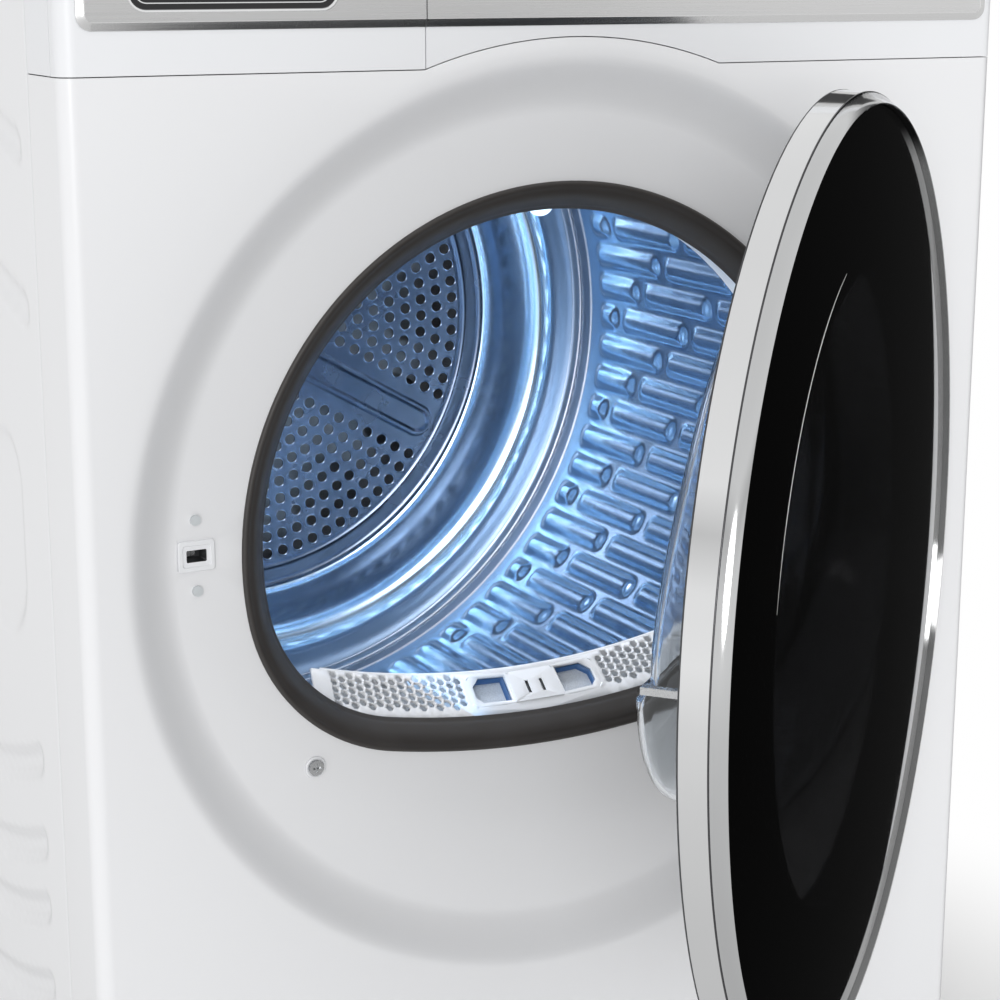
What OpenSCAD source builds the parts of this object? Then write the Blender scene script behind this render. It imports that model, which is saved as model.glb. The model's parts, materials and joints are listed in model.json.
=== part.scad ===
// Free-standing heat pump clothes dryer, drawn with its door standing open.
// X runs to the right, Y runs from the front to the back, Z runs up from the floor.

/* [Cabinet] */
// Width of the cabinet across the side panels
cab_w = 595; // [590:1:600]
// Height from the floor to the top of the worktop
cab_h = 845; // [840:1:860]
// Depth from the front panel to the back of the air duct cover
cab_d = 600; // [595:1:640]
// Thickness of the painted sheet steel
sheet = 1.2; // [0.8:0.1:1.5]
// Radius of the two vertical front corners
corner_r = 9; // [6:1:12]
// How far the front panel wraps round each side
wrap_d = 55; // [50:1:60]
// Height of the underside of the base tray above the floor
base_z = 16; // [14:1:18]
// Thickness of the worktop
top_t = 16; // [12:1:20]

/* [Door opening] */
// Height of the door opening's centre above the floor
port_z = 431; // [425:1:440]
// Radius of the recessed dish in the front panel
dish_r = 269; // [268:0.5:270]
// Depth of the dish
dish_depth = 16; // [14:1:17]
// Width of the dish's curved edge
dish_slope = 30; // [24:1:32]
// Outer radius of the rubber gasket
port_r = 200; // [198:1:202]
// Radius of the gasket's two lower corners
port_corner_r = 110; // [105:1:115]
// Radius of the gasket's almost flat lower edge
port_base_r = 550; // [540:5:560]

/* [Door] */
// Angle that the door stands open at rest
door_open = 40.6; // [0:0.1:110]
// Outer radius of the chrome ring
ring_r = 260; // [258:0.5:261]
// Thickness of the door from its back edge to the edge of the glass
door_t = 21; // [20:0.5:23]
// Height of the domed glass above its edge
glass_dome = 14; // [8:1:18]
// Depth of the glass's edge behind the ring's front edge
glass_in = 4; // [0:0.5:4]
// Sideways distance of the hinge axis from the centre
hinge_x = 251.3; // [250:0.1:251.5]
// Distance of the hinge axis in front of the front panel
hinge_out = 9; // [8:0.5:10]

/* [Drum] */
// Height of the drum axis above the door opening's centre
drum_lift = 45; // [44:1:46]
// Outer radius of the drum
drum_r = 288; // [286:0.5:288]
// Depth at which the drum shell meets its rear wall
drum_back = 492; // [488:1:494]
// Depth of the flat, perforated disc
disc_y = 534; // [530:1:536]
// Radius of the perforated disc
disc_r = 217; // [214:1:220]
// Diameter of an air hole in the disc
air_hole_d = 8.6; // [7:0.1:9]

/* [Drive] */
// Sideways position of the motor axis
motor_x = 175; // [173:1:177]
// Height of the motor axis
motor_z = 105; // [103:1:107]
// Radius of the motor pulley
pulley_r = 9; // [8:0.5:10]
// Radius of a drum support roller
roller_r = 35; // [32:1:36]
// Radius of the belt's idler wheel
idler_r = 20; // [18:1:22]

/* [Controls] */
// Height of the straight seam between the front panel and the fascia
seam_z = 697.5; // [695:0.5:700]
// Height of the lower edge of the brushed trim
trim_z = 720; // [718:1:722]
// Height of the brushed trim
trim_h = 95; // [92:1:98]
// Sideways position of the gap between the drawer and the control panel
split_x = -94; // [-96:1:-92]
// Diameter of the programme knob
knob_d = 54; // [48:1:58]

/* [Hidden] */
$fn = 96;

white = "#f2f3f4";
dark = "#2b2b2c";
steel = "#c3c8cc";
zinc = "#a9adb0";
grey_plastic = "#8d9094";

half_w = cab_w / 2;
gap = 0.6;                       // seam between two outer panels
run = 0.05;                      // radial running clearance of a shaft in its bore
clear = 0.3;                     // clearance between moving bodies
rear_y = cab_d - 34;             // front face of the rear panel
drum_z = port_z + drum_lift;
top_z = cab_h - top_t;
fascia_top = top_z - gap;
arch_r = dish_r + 13.5;          // the front panel rises over the dish in this arc
panel_z = 14;
inner_x = half_w - sheet;        // inner face of a side panel
plate_y = 28;                    // front face of the bulkhead plate
tray_floor = base_z + 4;
tray_top = 50;
tank_floor = 768;                // underside of the tank's tray
step_y = 56;                     // depth at which the tunnel behind the gasket widens
collar_y = 84;                   // depth of the tunnel's rear end
neck_r = 229;                    // inner radius of the drum's front neck

// The door opening is bounded by a large arc, two corner arcs and a base arc.
base_arc_z = port_base_r - 134;
corner_reach = port_r - port_corner_r;
corner_cz = (base_arc_z * base_arc_z + corner_reach * corner_reach
    - pow(port_base_r - port_corner_r, 2)) / (2 * base_arc_z);
corner_cx = sqrt(corner_reach * corner_reach - corner_cz * corner_cz);
side_a = asin(corner_cz / corner_reach);
base_a = 270 - asin(corner_cx / (port_base_r - port_corner_r));

// Door, in its closed position
door_back = -2.5;
door_front = door_back - door_t;
glass_r = ring_r - 7.3;
glass_t = 4;
glass_y = door_front + glass_in;  // front of the glass at its edge
pocket_y = -13.3;                // floor of the pocket for the hinge leaf
frame_in_r = 170;
lug_z = 24;
lug_t = 5;
eye_r = 4;
pin_r = 2.5;
hinge_y = -hinge_out;

// The door's free edge is the foremost point of the whole dryer.
door_reach = (hinge_x + ring_r - 7) * sin(door_open) + (hinge_y - door_front) * cos(door_open) + hinge_out;
front_y = (door_reach - cab_d) / 2;

// Drive
belt_y = 395;
belt_w = 9;
belt_t = 2.2;
belt_in_drum = drum_r + clear;
belt_in_pulley = pulley_r + clear;
axis_gap = norm([motor_x, motor_z - drum_z]);
axis_angle = atan2(drum_z - motor_z, -motor_x);
belt_lean = asin((belt_in_drum - belt_in_pulley) / axis_gap);
slack_angle = axis_angle + belt_lean;
idler_s = 80;
idler_off = belt_in_pulley + belt_t + clear + idler_r;
idler_x = motor_x + idler_s * cos(slack_angle) + idler_off * cos(slack_angle + 90);
idler_z = motor_z + idler_s * sin(slack_angle) + idler_off * sin(slack_angle + 90);
arm_x = 20;
arm_z = 95;
roller_angle = 32;
roller_x = (drum_r + clear + roller_r) * sin(roller_angle);
roller_z = drum_z - (drum_r + clear + roller_r) * cos(roller_angle);
roller_y = 133;
roller_w = 26;
fan_y = 170;
fan_d = 62;

// Controls and drawer
drawer_edge_y = 14;              // the drawer front wraps round the corner to here
trim_left = -half_w + corner_r + 0.5;
trim_right = half_w - corner_r - 0.5;
drawer_top = fascia_top - 3 - gap;
trim_t = 2;
handle_x = -262;
handle_w = 117;
handle_z = 729;
handle_h = 60;
knob_x = 20;
knob_z = trim_z + trim_h / 2;
button_x = 92;
button_r = 8;
display_x = 130;
display_w = 130;
display_h = 58;
board_low = knob_z - 32;         // lower edge of the control board

foot_x = 250;
foot_front_y = 50;
foot_rear_y = 520;

comp_x = 215;
comp_y = 468;
comp_r = 48;

lamp_h = 184;
latch_x = -228;
latch_h = 8;
screw_x = -160;
screw_h = -126;
hinge_screws = [-12, 12];

function arc(cx, cy, r, a0, a1, n = 8, last = 0) =
    [for (i = [0:n - last]) [cx + r * cos(a0 + (a1 - a0) * i / n), cy + r * sin(a0 + (a1 - a0) * i / n)]];

// Outline of the door opening, inset from the gasket's outer edge.
function port_outline(inset) = concat(
    arc(0, 0, port_r - inset, side_a, 180 - side_a, 60, 1),
    arc(-corner_cx, corner_cz, port_corner_r - inset, 180 - side_a, base_a, 12, 1),
    arc(0, base_arc_z, port_base_r - inset, base_a, 540 - base_a, 8, 1),
    arc(corner_cx, corner_cz, port_corner_r - inset, 540 - base_a, 360 + side_a, 12, 1)
);
function reversed(points) = [for (i = [len(points) - 1:-1:0]) points[i]];
function lowered(points, t) = [for (p = points) [p[0], p[1] + t]];

module in_cabinet() { translate([0, front_y, 0]) children(); }
module at_port() { in_cabinet() translate([0, 0, port_z]) children(); }
module at_drum() { in_cabinet() translate([0, 0, drum_z]) children(); }
module at_door() {
    at_port() translate([hinge_x, hinge_y, 0]) rotate([0, 0, door_open])
        translate([-hinge_x, -hinge_y, 0]) children();
}

// Extrudes an outline drawn in X and Z from depth y0 to depth y1.
module along_y(y0, y1) {
    translate([0, y1, 0]) rotate([90, 0, 0]) linear_extrude(y1 - y0) children();
}

// Turns a profile of radius and depth about the Y axis.
module revolve_y() { rotate([-90, 0, 0]) rotate_extrude() children(); }

module rod_y(r, y0, y1) { along_y(y0, y1) circle(r); }
module tube_y(r_out, r_in, y0, y1) {
    along_y(y0, y1) difference() {
        circle(r_out);
        circle(r_in);
    }
}
module box(x, y, z) { translate([x[0], y[0], z[0]]) cube([x[1] - x[0], y[1] - y[0], z[1] - z[0]]); }

module port_shape(inset = 0) { polygon(port_outline(inset)); }

// Plan of a cover that wraps round both front corners.
module cover_plan(inset) {
    translate([-half_w + inset, corner_r]) square([cab_w - 2 * inset, wrap_d - corner_r]);
    translate([-half_w + corner_r, inset]) square([cab_w - 2 * corner_r, corner_r]);
    for (s = [-1, 1])
        translate([s * (half_w - corner_r), corner_r]) circle(corner_r - inset);
}
module wrapped_cover(z0, z1, t) {
    translate([0, 0, z0]) linear_extrude(z1 - z0) difference() {
        cover_plan(0);
        cover_plan(t);
        translate([-half_w + t, wrap_d - 1]) square([cab_w - 2 * t, 2]);
    }
}

// The dish's curved edge falls smoothly from the front face to its floor.
dish_curve = [for (i = [0:12])
    [dish_r - dish_slope * i / 12, dish_depth * (1 - cos(180 * i / 12)) / 2]];

module front_panel() {
    color(white) in_cabinet() {
        difference() {
            union() {
                wrapped_cover(panel_z, seam_z - gap / 2, sheet);
                translate([0, 0, port_z]) along_y(0, sheet) intersection() {
                    circle(arch_r, $fn = 180);
                    translate([-120, seam_z - port_z - 1]) square([240, 40]);
                }
            }
            translate([0, 0, port_z]) rod_y(dish_r, -1, sheet + 1, $fn = 180);
        }
        translate([0, 0, port_z]) revolve_y($fn = 180)
            polygon(concat(dish_curve, lowered(reversed(dish_curve), sheet)));
        translate([0, 0, port_z]) along_y(dish_depth, dish_depth + sheet) difference() {
            circle(dish_r - dish_slope, $fn = 180);
            port_shape(1);
            translate([latch_x - 10.5, latch_h - 8.5]) square([21, 17]);
            for (z = [-20, 20]) translate([latch_x, latch_h + z]) circle(2);
            translate([screw_x, screw_h]) circle(3);
            for (z = hinge_screws) translate([222, z]) circle(2);
        }
    }
}
module side_panel() {
    y0 = wrap_d + gap;
    color(white) in_cabinet() {
        box([inner_x, half_w], [y0, rear_y + 1.5], [panel_z, top_z]);
        box([inner_x - 14, inner_x], [rear_y - sheet, rear_y], [tray_top + 2, top_z - 10]);
        box([inner_x - 10, inner_x], [y0, y0 + sheet], [panel_z + 60, seam_z - 10]);
    }
}
module left_side_panel() { mirror([1, 0, 0]) side_panel(); }
module right_side_panel() { side_panel(); }

module duct_outline(inset) {
    translate([0, drum_z]) circle(250 - inset, $fn = 180);
    translate([-232 + inset, 70 + inset]) square([164 - 2 * inset, 260]);
}
module rear_panel() {
    color(zinc) in_cabinet() difference() {
        box([-inner_x, inner_x], [rear_y, rear_y + 1.5], [20, top_z]);
        translate([0, 0, drum_z]) {
            rod_y(22.5, rear_y - 1, rear_y + 3);
            for (a = [0:30:330])
                rotate([0, -a, 0]) translate([170, 0, 0]) rod_y(30, rear_y - 1, rear_y + 3);
        }
        box([-215, -85], [rear_y - 1, rear_y + 3], [85, 155]);
        translate([230, 0, 90]) rod_y(9, rear_y - 1, rear_y + 3);
    }
}
module rear_duct_cover() {
    color(zinc) in_cabinet() {
        y0 = rear_y + 1.5;
        difference() {
            along_y(y0, cab_d) duct_outline(0);
            along_y(y0 - 1, cab_d - 1.5) duct_outline(1.5);
        }
        along_y(y0, y0 + 1.2) difference() {
            duct_outline(-12);
            duct_outline(0);
        }
    }
}
module worktop() {
    color(white) in_cabinet() translate([0, 0, top_z]) linear_extrude(top_t) {
        translate([-half_w, corner_r]) square([cab_w, rear_y + 1.5 - corner_r]);
        translate([-half_w + corner_r, 0]) square([cab_w - 2 * corner_r, corner_r + 1]);
        for (s = [-1, 1]) translate([s * (half_w - corner_r), corner_r]) circle(corner_r);
    }
}

module fascia() {
    color(white) in_cabinet() {
        difference() {
            union() {
                wrapped_cover(seam_z + gap / 2, fascia_top, 3);
                box([split_x + gap / 2, split_x + 3.3], [3, plate_y - 0.3], [seam_z + gap / 2, fascia_top]);
            }
            translate([0, 0, port_z]) rod_y(arch_r + gap, -1, 31, $fn = 180);
            box([-half_w - 1, split_x + gap / 2], [-1, drawer_edge_y + gap], [seam_z, fascia_top - 3]);
            translate([knob_x, 0, knob_z]) rod_y(6, -1, 5);
            translate([button_x, 0, knob_z]) rod_y(button_r + clear, -1, 5);
            box([display_x, display_x + display_w], [-1, 4], [knob_z - display_h / 2, knob_z + display_h / 2]);
        }
        for (x = [-5, 266], z = [-27, 27]) translate([x, 0, knob_z + z]) rod_y(3, 2.9, 26);
    }
}

// Brushed trim plate with rounded lower corners.
module trim_plate(x0, x1, round_left, round_right) {
    along_y(-trim_t, 0) difference() {
        translate([x0, trim_z]) square([x1 - x0, trim_h]);
        if (round_left) translate([x0, trim_z]) difference() {
            translate([-1, -1]) square([9, 9]);
            translate([8, 8]) circle(8);
        }
        if (round_right) translate([x1, trim_z]) difference() {
            translate([-8, -1]) square([9, 9]);
            translate([-8, 8]) circle(8);
        }
    }
}
module control_trim() {
    color(steel) in_cabinet() difference() {
        trim_plate(split_x + gap / 2, trim_right, false, true);
        translate([knob_x, 0, knob_z]) rod_y(6, -3, 1);
        translate([button_x, 0, knob_z]) rod_y(button_r + clear, -3, 1);
        box([display_x, display_x + display_w], [-3, 1], [knob_z - display_h / 2, knob_z + display_h / 2]);
    }
}
module display_window() {
    color("#101214") in_cabinet() {
        box([display_x + 0.2, display_x + display_w - 0.2], [-trim_t - 0.5, 3.1],
            [knob_z - display_h / 2 + 0.2, knob_z + display_h / 2 - 0.2]);
        box([display_x - 2, display_x + display_w + 2], [3, 4.5],
            [knob_z - display_h / 2 - 2, knob_z + display_h / 2 + 2]);
    }
}

module base_tray() {
    color(grey_plastic) in_cabinet() {
        difference() {
            union() {
                difference() {
                    union() {
                        box([-inner_x, inner_x], [corner_r + 1, rear_y], [base_z, tray_top]);
                        box([-half_w + corner_r, half_w - corner_r], [sheet, corner_r + 2], [base_z, tray_top]);
                    }
                    box([-290, 290], [14, rear_y - 5], [tray_floor, tray_top + 1]);
                }
                for (x = [-foot_x, foot_x], y = [foot_front_y, foot_rear_y])
                    translate([x, y, base_z]) cylinder(r = 13, h = 32);
                box([arm_x - 9, arm_x + 9], [407, 413], [base_z + 3, arm_z + 12]);
            }
            for (x = [-foot_x, foot_x], y = [foot_front_y, foot_rear_y])
                translate([x, y, base_z - 1]) cylinder(r = 5 + run, h = 40);
        }
        translate([arm_x, 0, arm_z]) rod_y(4, 392, 408);
    }
}

module front_bulkhead() {
    color(white) in_cabinet() {
        difference() {
            union() {
                translate([0, 0, port_z]) {
                    along_y(plate_y, plate_y + 3) difference() {
                        translate([-inner_x, tray_top - port_z])
                            square([2 * inner_x, tank_floor - tray_top]);
                        port_shape(10);
                    }
                    along_y(plate_y + 2.9, step_y) difference() {
                        port_shape(7);
                        port_shape(10);
                    }
                    along_y(step_y - 3, step_y) difference() {
                        port_shape(-5);
                        port_shape(10);
                    }
                    along_y(step_y - 0.1, collar_y) difference() {
                        port_shape(-5);
                        port_shape(-2);
                    }
                    difference() {
                        box([-125, 125], [plate_y + 2.9, 64], [-316, -118]);
                        box([-122, 122], [plate_y + 2, 61.5], [-320, -100]);
                        along_y(30, 70) port_shape(-4);
                    }
                }
                along_y(collar_y - 3, collar_y) difference() {
                    translate([0, drum_z]) circle(224, $fn = 180);
                    translate([0, port_z]) port_shape(-2);
                }
                translate([0, 0, drum_z]) tube_y(224, 221, collar_y - 0.1, collar_y + 16, $fn = 180);
            }
            translate([0, 0, port_z]) {
                box([-114.5, 114.5], [36, 60.5], [-180, -110]);
                box([-19, 19], [34, 50], [lamp_h - 2, lamp_h + 20]);
            }
            box([split_x - 3, half_w], [plate_y - 1, plate_y + 4], [board_low - 3, tank_floor + 1]);
            for (s = [-1, 1]) translate([s * half_w, 0, 0])
                box([-3.4, 3.4], [plate_y - 1, plate_y + 4], [seam_z - 0.4, tank_floor + 1]);
        }
    }
}

module door_gasket() {
    color(dark) at_port() {
        along_y(13.6, dish_depth) difference() {
            port_shape(-1.5);
            port_shape(11);
        }
        along_y(dish_depth - 0.1, 21) difference() {
            port_shape(1.2);
            port_shape(13);
        }
        along_y(20.9, plate_y) difference() {
            port_shape(1.2);
            port_shape(15);
        }
    }
}
module drum_front_seal() {
    color("#6d6a66") at_drum() tube_y(neck_r - 0.4, 224, collar_y + 4, collar_y + 15, $fn = 180);
}
module drum_lamp() {
    color("#cfe6ff") at_port() {
        box([-19, 19], [34, 50], [lamp_h + 1, lamp_h + 10]);
        difference() {
            translate([0, 42, lamp_h + 3]) sphere(r = 8);
            box([-20, 20], [20, 70], [lamp_h + 1.5, lamp_h + 20]);
        }
    }
}

module latch_receptacle() {
    color(white) at_port() translate([latch_x, 0, latch_h]) difference() {
        union() {
            box([-11, 11], [dish_depth - 3, dish_depth], [-10, 10]);
            box([-10, 10], [dish_depth - 0.1, 27.5], [-8, 8]);
        }
        box([-6, 6], [dish_depth - 4, 26], [-3.5, 3.5]);
    }
}
module front_plugs() {
    color(white) at_port()
        for (z = [-20, 20]) translate([latch_x, 0, latch_h + z]) {
            rod_y(3, dish_depth - 1.5, dish_depth);
            rod_y(1.9, dish_depth - 0.1, dish_depth + 6);
        }
}
module phillips_screw(r, y0, length) {
    difference() {
        union() {
            rod_y(r, y0, y0 + 2.2);
            rod_y(r * 0.5, y0 + 2, y0 + length);
        }
        for (a = [0, 90]) rotate([0, a, 0]) box([-r * 0.55, r * 0.55], [y0 - 1, y0 + 1.2], [-0.5, 0.5]);
    }
}
module front_screws() {
    color(zinc) at_port() {
        translate([screw_x, 0, screw_h]) phillips_screw(4.5, dish_depth - 2.2, 11);
        for (z = hinge_screws) translate([222, 0, z]) phillips_screw(3.6, dish_depth - 5.2, 12);
    }
}

module heat_exchanger_cover() {
    color(grey_plastic) in_cabinet() difference() {
        union() {
            box([-276, -64], [90, 500], [tray_floor, 165]);
            box([-218, -82], [499, rear_y], [82, 158]);
        }
        box([-273, -67], [93, 497], [tray_floor - 1, 162]);
        box([-215, -85], [496, rear_y + 1], [85, 155]);
        box([-68, -63], [fan_y + 3, fan_y + fan_d - 3], [motor_z - 7, motor_z + 43]);
    }
}
module fin_block(y0, y1) {
    x = [-262, -78];
    difference() {
        box(x, [y0, y1], [tray_floor, 150]);
        for (i = [1:12]) {
            fin = x[0] + 10 + i * 12.6;
            box([fin - 3.5, fin + 3.5], [y0 - 1, y1 + 1], [base_z + 14, 144]);
        }
    }
}
module evaporator() {
    color(steel) in_cabinet() fin_block(105, 235);
}
module condenser() {
    color(steel) in_cabinet() fin_block(265, 440);
}
module compressor() {
    color("#3a3c3e") in_cabinet() translate([comp_x, comp_y, tray_floor]) {
        for (a = [90, 210, 330])
            rotate([0, 0, a]) translate([38, 0, 0]) cylinder(r = 9, h = 12.1);
        translate([0, 0, 12]) cylinder(r = 49, h = 4.1);
        translate([0, 0, 16]) cylinder(r = comp_r, h = 115);
        intersection() {
            translate([0, 0, 83]) sphere(r = 68);
            translate([0, 0, 130]) cylinder(r = comp_r, h = 40);
        }
    }
}

// Two pipes that step up from the heat exchangers to the side of the compressor.
module refrigerant_pipes() {
    color("#b87648") in_cabinet() difference() {
        for (p = [[445, 60, 110, 100], [478, 80, 130, 70]]) stepped_pipe(p[0], p[1], p[2], p[3]);
        translate([comp_x, comp_y, tray_floor]) cylinder(r = comp_r, h = 130);
    }
}
module stepped_pipe(y, z0, z1, x) {
    bend = 16;
    translate([-64, y, z0]) rotate([0, 90, 0]) pipe(x - bend + 64);
    translate([x - bend, y, z0 + bend]) rotate([90, 0, 0]) pipe_bend(bend, 270);
    translate([x, y, z0 + bend]) pipe(z1 - z0 - 2 * bend);
    translate([x + bend, y, z1 - bend]) rotate([90, 0, 0]) pipe_bend(bend, 90);
    translate([x + bend, y, z1]) rotate([0, 90, 0]) pipe(comp_x - x - bend);
}
module pipe_wall() {
    difference() {
        circle(4.5);
        circle(3.5);
    }
}
module pipe(length) { linear_extrude(length) pipe_wall(); }
module pipe_bend(radius, start) {
    rotate([0, 0, start]) rotate_extrude(angle = 90) translate([radius, 0]) pipe_wall();
}

module motor_housing() {
    color(zinc) in_cabinet() difference() {
        union() {
            translate([motor_x, 0, motor_z]) {
                rod_y(58, 250, 362);
                rod_y(24, 240, 250.1);
                rod_y(24, 361.9, 372);
            }
            box([motor_x - 50, motor_x + 50], [262, 350], [tray_floor, motor_z - 40]);
        }
        translate([motor_x, 0, motor_z]) rod_y(7.5 + run, 230, 380);
    }
}
module motor_rotor() {
    color(steel) in_cabinet() translate([motor_x, 0, motor_z]) {
        rod_y(7.5, fan_y + 12, 404);
        rod_y(pulley_r, 388, 402);
        rod_y(pulley_r + 3.5, 386, 388.2);
        rod_y(pulley_r + 3.5, 401.8, 404);
    }
}
module fan_housing() {
    y1 = fan_y + fan_d;
    duct_z = motor_z - 10;
    color(grey_plastic) in_cabinet() difference() {
        union() {
            translate([motor_x, 0, motor_z]) rod_y(76, fan_y, y1);
            box([-64, motor_x - 40], [fan_y, y1], [duct_z, duct_z + 56]);
            box([motor_x - 40, motor_x + 40], [fan_y + 10, y1 - 10], [tray_floor, 45]);
        }
        translate([motor_x, 0, motor_z]) {
            rod_y(73, fan_y + 3, y1 - 3);
            rod_y(42, fan_y - 1, fan_y + 4);
            rod_y(12, y1 - 4, y1 + 1);
        }
        box([-65, motor_x - 50], [fan_y + 3, y1 - 3], [duct_z + 3, duct_z + 53]);
    }
}
module fan_wheel() {
    y0 = fan_y + 8;
    color(grey_plastic) in_cabinet() translate([motor_x, 0, motor_z]) {
        tube_y(64, 7.5, y0 + 40, y0 + 43);
        tube_y(16, 7.5, y0 + 12, y0 + 40.1);
        tube_y(64, 46, y0, y0 + 3);
        for (a = [0:30:330])
            rotate([0, -a, 0]) box([47, 63], [y0 + 2.9, y0 + 40.1], [-1.2, 1.2]);
    }
}
module tension_arm() {
    color(zinc) in_cabinet() {
        span = norm([idler_x - arm_x, idler_z - arm_z]);
        lean = atan2(idler_z - arm_z, idler_x - arm_x);
        translate([arm_x, 0, arm_z]) rotate([0, -lean, 0]) {
            difference() {
                union() {
                    rod_y(9, 402.4, 406.6);
                    box([0, span], [402.4, 406.6], [-7, 7]);
                    translate([span, 0, 0]) rod_y(8, 402.4, 406.6);
                }
                rod_y(4 + run, 400, 408);
            }
            translate([span, 0, 0]) {
                rod_y(4, 387, 403);
                rod_y(6, 385.4, 387.4);
            }
        }
    }
}
module idler_wheel() {
    color("#303234") in_cabinet() translate([idler_x, 0, idler_z]) difference() {
        rod_y(idler_r, 388.5, 401.5);
        rod_y(4 + run, 388, 402);
    }
}
module drive_belt() {
    color(dark) at_drum() along_y(belt_y - belt_w / 2, belt_y + belt_w / 2) difference() {
        belt_loop(belt_t);
        belt_loop(0);
    }
}
// Two circles and the four tangent points between them, grown by an offset.
module belt_loop(grow) {
    big = belt_in_drum + grow;
    small = belt_in_pulley + grow;
    m = [motor_x, motor_z - drum_z];
    circle(big, $fn = 240);
    translate(m) circle(small);
    turn = [axis_angle + 90 + belt_lean, axis_angle - 90 - belt_lean];
    tangent = [for (a = turn) [cos(a), sin(a)]];
    polygon([big * tangent[0], m + small * tangent[0], m + small * tangent[1], big * tangent[1]]);
}

module roller_brackets() {
    color(zinc) in_cabinet()
        for (s = [-1, 1]) translate([s * roller_x, 0, roller_z]) {
            box([-14, 14], [plate_y + 3, roller_y - 4], [-12, 12]);
            rod_y(5, roller_y - 4.1, roller_y + roller_w + 6);
            rod_y(8, roller_y + roller_w + 2, roller_y + roller_w + 4);
        }
}
module support_roller(side) {
    color("#4a4c4e") in_cabinet() translate([side * roller_x, 0, roller_z])
        tube_y(roller_r, 5 + run, roller_y, roller_y + roller_w);
}
module support_roller_left() { support_roller(-1); }
module support_roller_right() { support_roller(1); }

module condensate_pump() {
    color("#d8d9da") in_cabinet() {
        box([-284, -236], [534, 560], [tray_floor, 100]);
        translate([-251, 547, 99.9]) cylinder(r = 12, h = 30);
        translate([-274, 540, 99.9]) cylinder(r = 5, h = 12);
    }
}
module drain_hose() {
    bend = 22;
    top = 784;
    color("#5b5e61") in_cabinet() translate([-274, 0, 0]) {
        translate([0, 540, 112]) tube_z(7, 5, top - bend - 112);
        translate([0, 540 - bend, top - bend]) rotate([90, 0, 90]) rotate_extrude(angle = 90)
            translate([bend, 0]) difference() {
                circle(7);
                circle(5);
            }
        translate([0, 0, top]) tube_y(7, 5, 506, 540 - bend);
    }
}
module tube_z(r_out, r_in, h) {
    difference() {
        cylinder(r = r_out, h = h);
        translate([0, 0, -1]) cylinder(r = r_in, h = h + 2);
    }
}
module control_board() {
    color("#1f6b3a") in_cabinet() {
        box([-10, 272], [26, 28], [board_low, knob_z + 32]);
        box([knob_x - 12, knob_x + 12], [20, 26.1], [knob_z - 12, knob_z + 12]);
        box([button_x - 4, button_x + 4], [24, 26.1], [knob_z - 4, knob_z + 4]);
        box([150, 176], [27.9, 44], [knob_z - 20, knob_z + 10]);
        for (x = [70, 100, 220]) translate([x, 0, knob_z]) rod_y(8, 27.9, 46);
    }
}
module tank_tray() {
    color(grey_plastic) in_cabinet() difference() {
        union() {
            box([-289, -97.5], [plate_y, 506], [tank_floor, 800]);
            for (x = [-289, -104]) box([x, x + 6], [505, rear_y - sheet], [tank_floor, 790]);
        }
        box([-286.5, -100], [plate_y - 1, 503.5], [tank_floor + 2.5, 801]);
        translate([-274, 0, 784]) rod_y(5, 500, 507);
    }
}
module cable_gland() {
    color(dark) in_cabinet() translate([230, 0, 90]) {
        tube_y(14, 4.5, rear_y + 1.5, rear_y + 12);
        tube_y(8.9, 4.5, rear_y - 10, rear_y + 1.6);
        tube_y(12, 4.5, rear_y - 6, rear_y);
    }
}

module hinge_bracket() {
    root = [222, dish_depth - 5];
    reach = [hinge_x, hinge_y] - root;
    side = [-reach[1], reach[0]] / norm(reach) * 3;
    color(zinc) at_port() {
        difference() {
            box([206, 238], [dish_depth - 3, dish_depth], [-30, 30]);
            for (z = hinge_screws) translate([222, 0, z]) rod_y(2.2, dish_depth - 4, dish_depth + 1);
        }
        for (s = [-1, 1]) translate([0, 0, s * lug_z - lug_t / 2]) linear_extrude(lug_t) difference() {
            union() {
                polygon([root - 1.8 * side, root + 1.8 * side, root + reach + side, root + reach - side]);
                translate([hinge_x, hinge_y]) circle(eye_r);
                translate([214, dish_depth - 6]) square([18, 4]);
            }
            translate([hinge_x, hinge_y]) circle(pin_r);
        }
    }
}
module hinge_pin() {
    top = lug_z + lug_t / 2;
    color(steel) at_port() translate([hinge_x, hinge_y, 0]) {
        translate([0, 0, -top]) cylinder(r = pin_r, h = 2 * top + 0.1);
        translate([0, 0, top]) cylinder(r = 3.8, h = 1.6);
    }
}

module rear_bearing() {
    color(zinc) at_drum() {
        tube_y(22, 12.5 + run, rear_y - 16, rear_y + 24);
        tube_y(45, 21.9, rear_y + 1.5, rear_y + 5);
    }
}
module drum_shaft() {
    color(steel) at_drum() {
        rod_y(12.5, disc_y + 5, rear_y + 26);
        rod_y(64, disc_y + 2, disc_y + 6);
    }
}
module drum_shell() {
    inner = drum_r - 2;
    front = collar_y + 8;
    outline = [[neck_r, front], [neck_r, front + 9], [inner, front + 37], [inner, drum_back],
        [drum_r, drum_back], [drum_r, front + 36], [neck_r + 2, front + 8], [neck_r + 2, front]];
    color(steel) at_drum() {
        revolve_y($fn = 180) polygon(outline);
        tube_y(drum_r + 1.4, drum_r - 0.1, drum_back - 10, drum_back, $fn = 180);
    }
}

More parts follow.
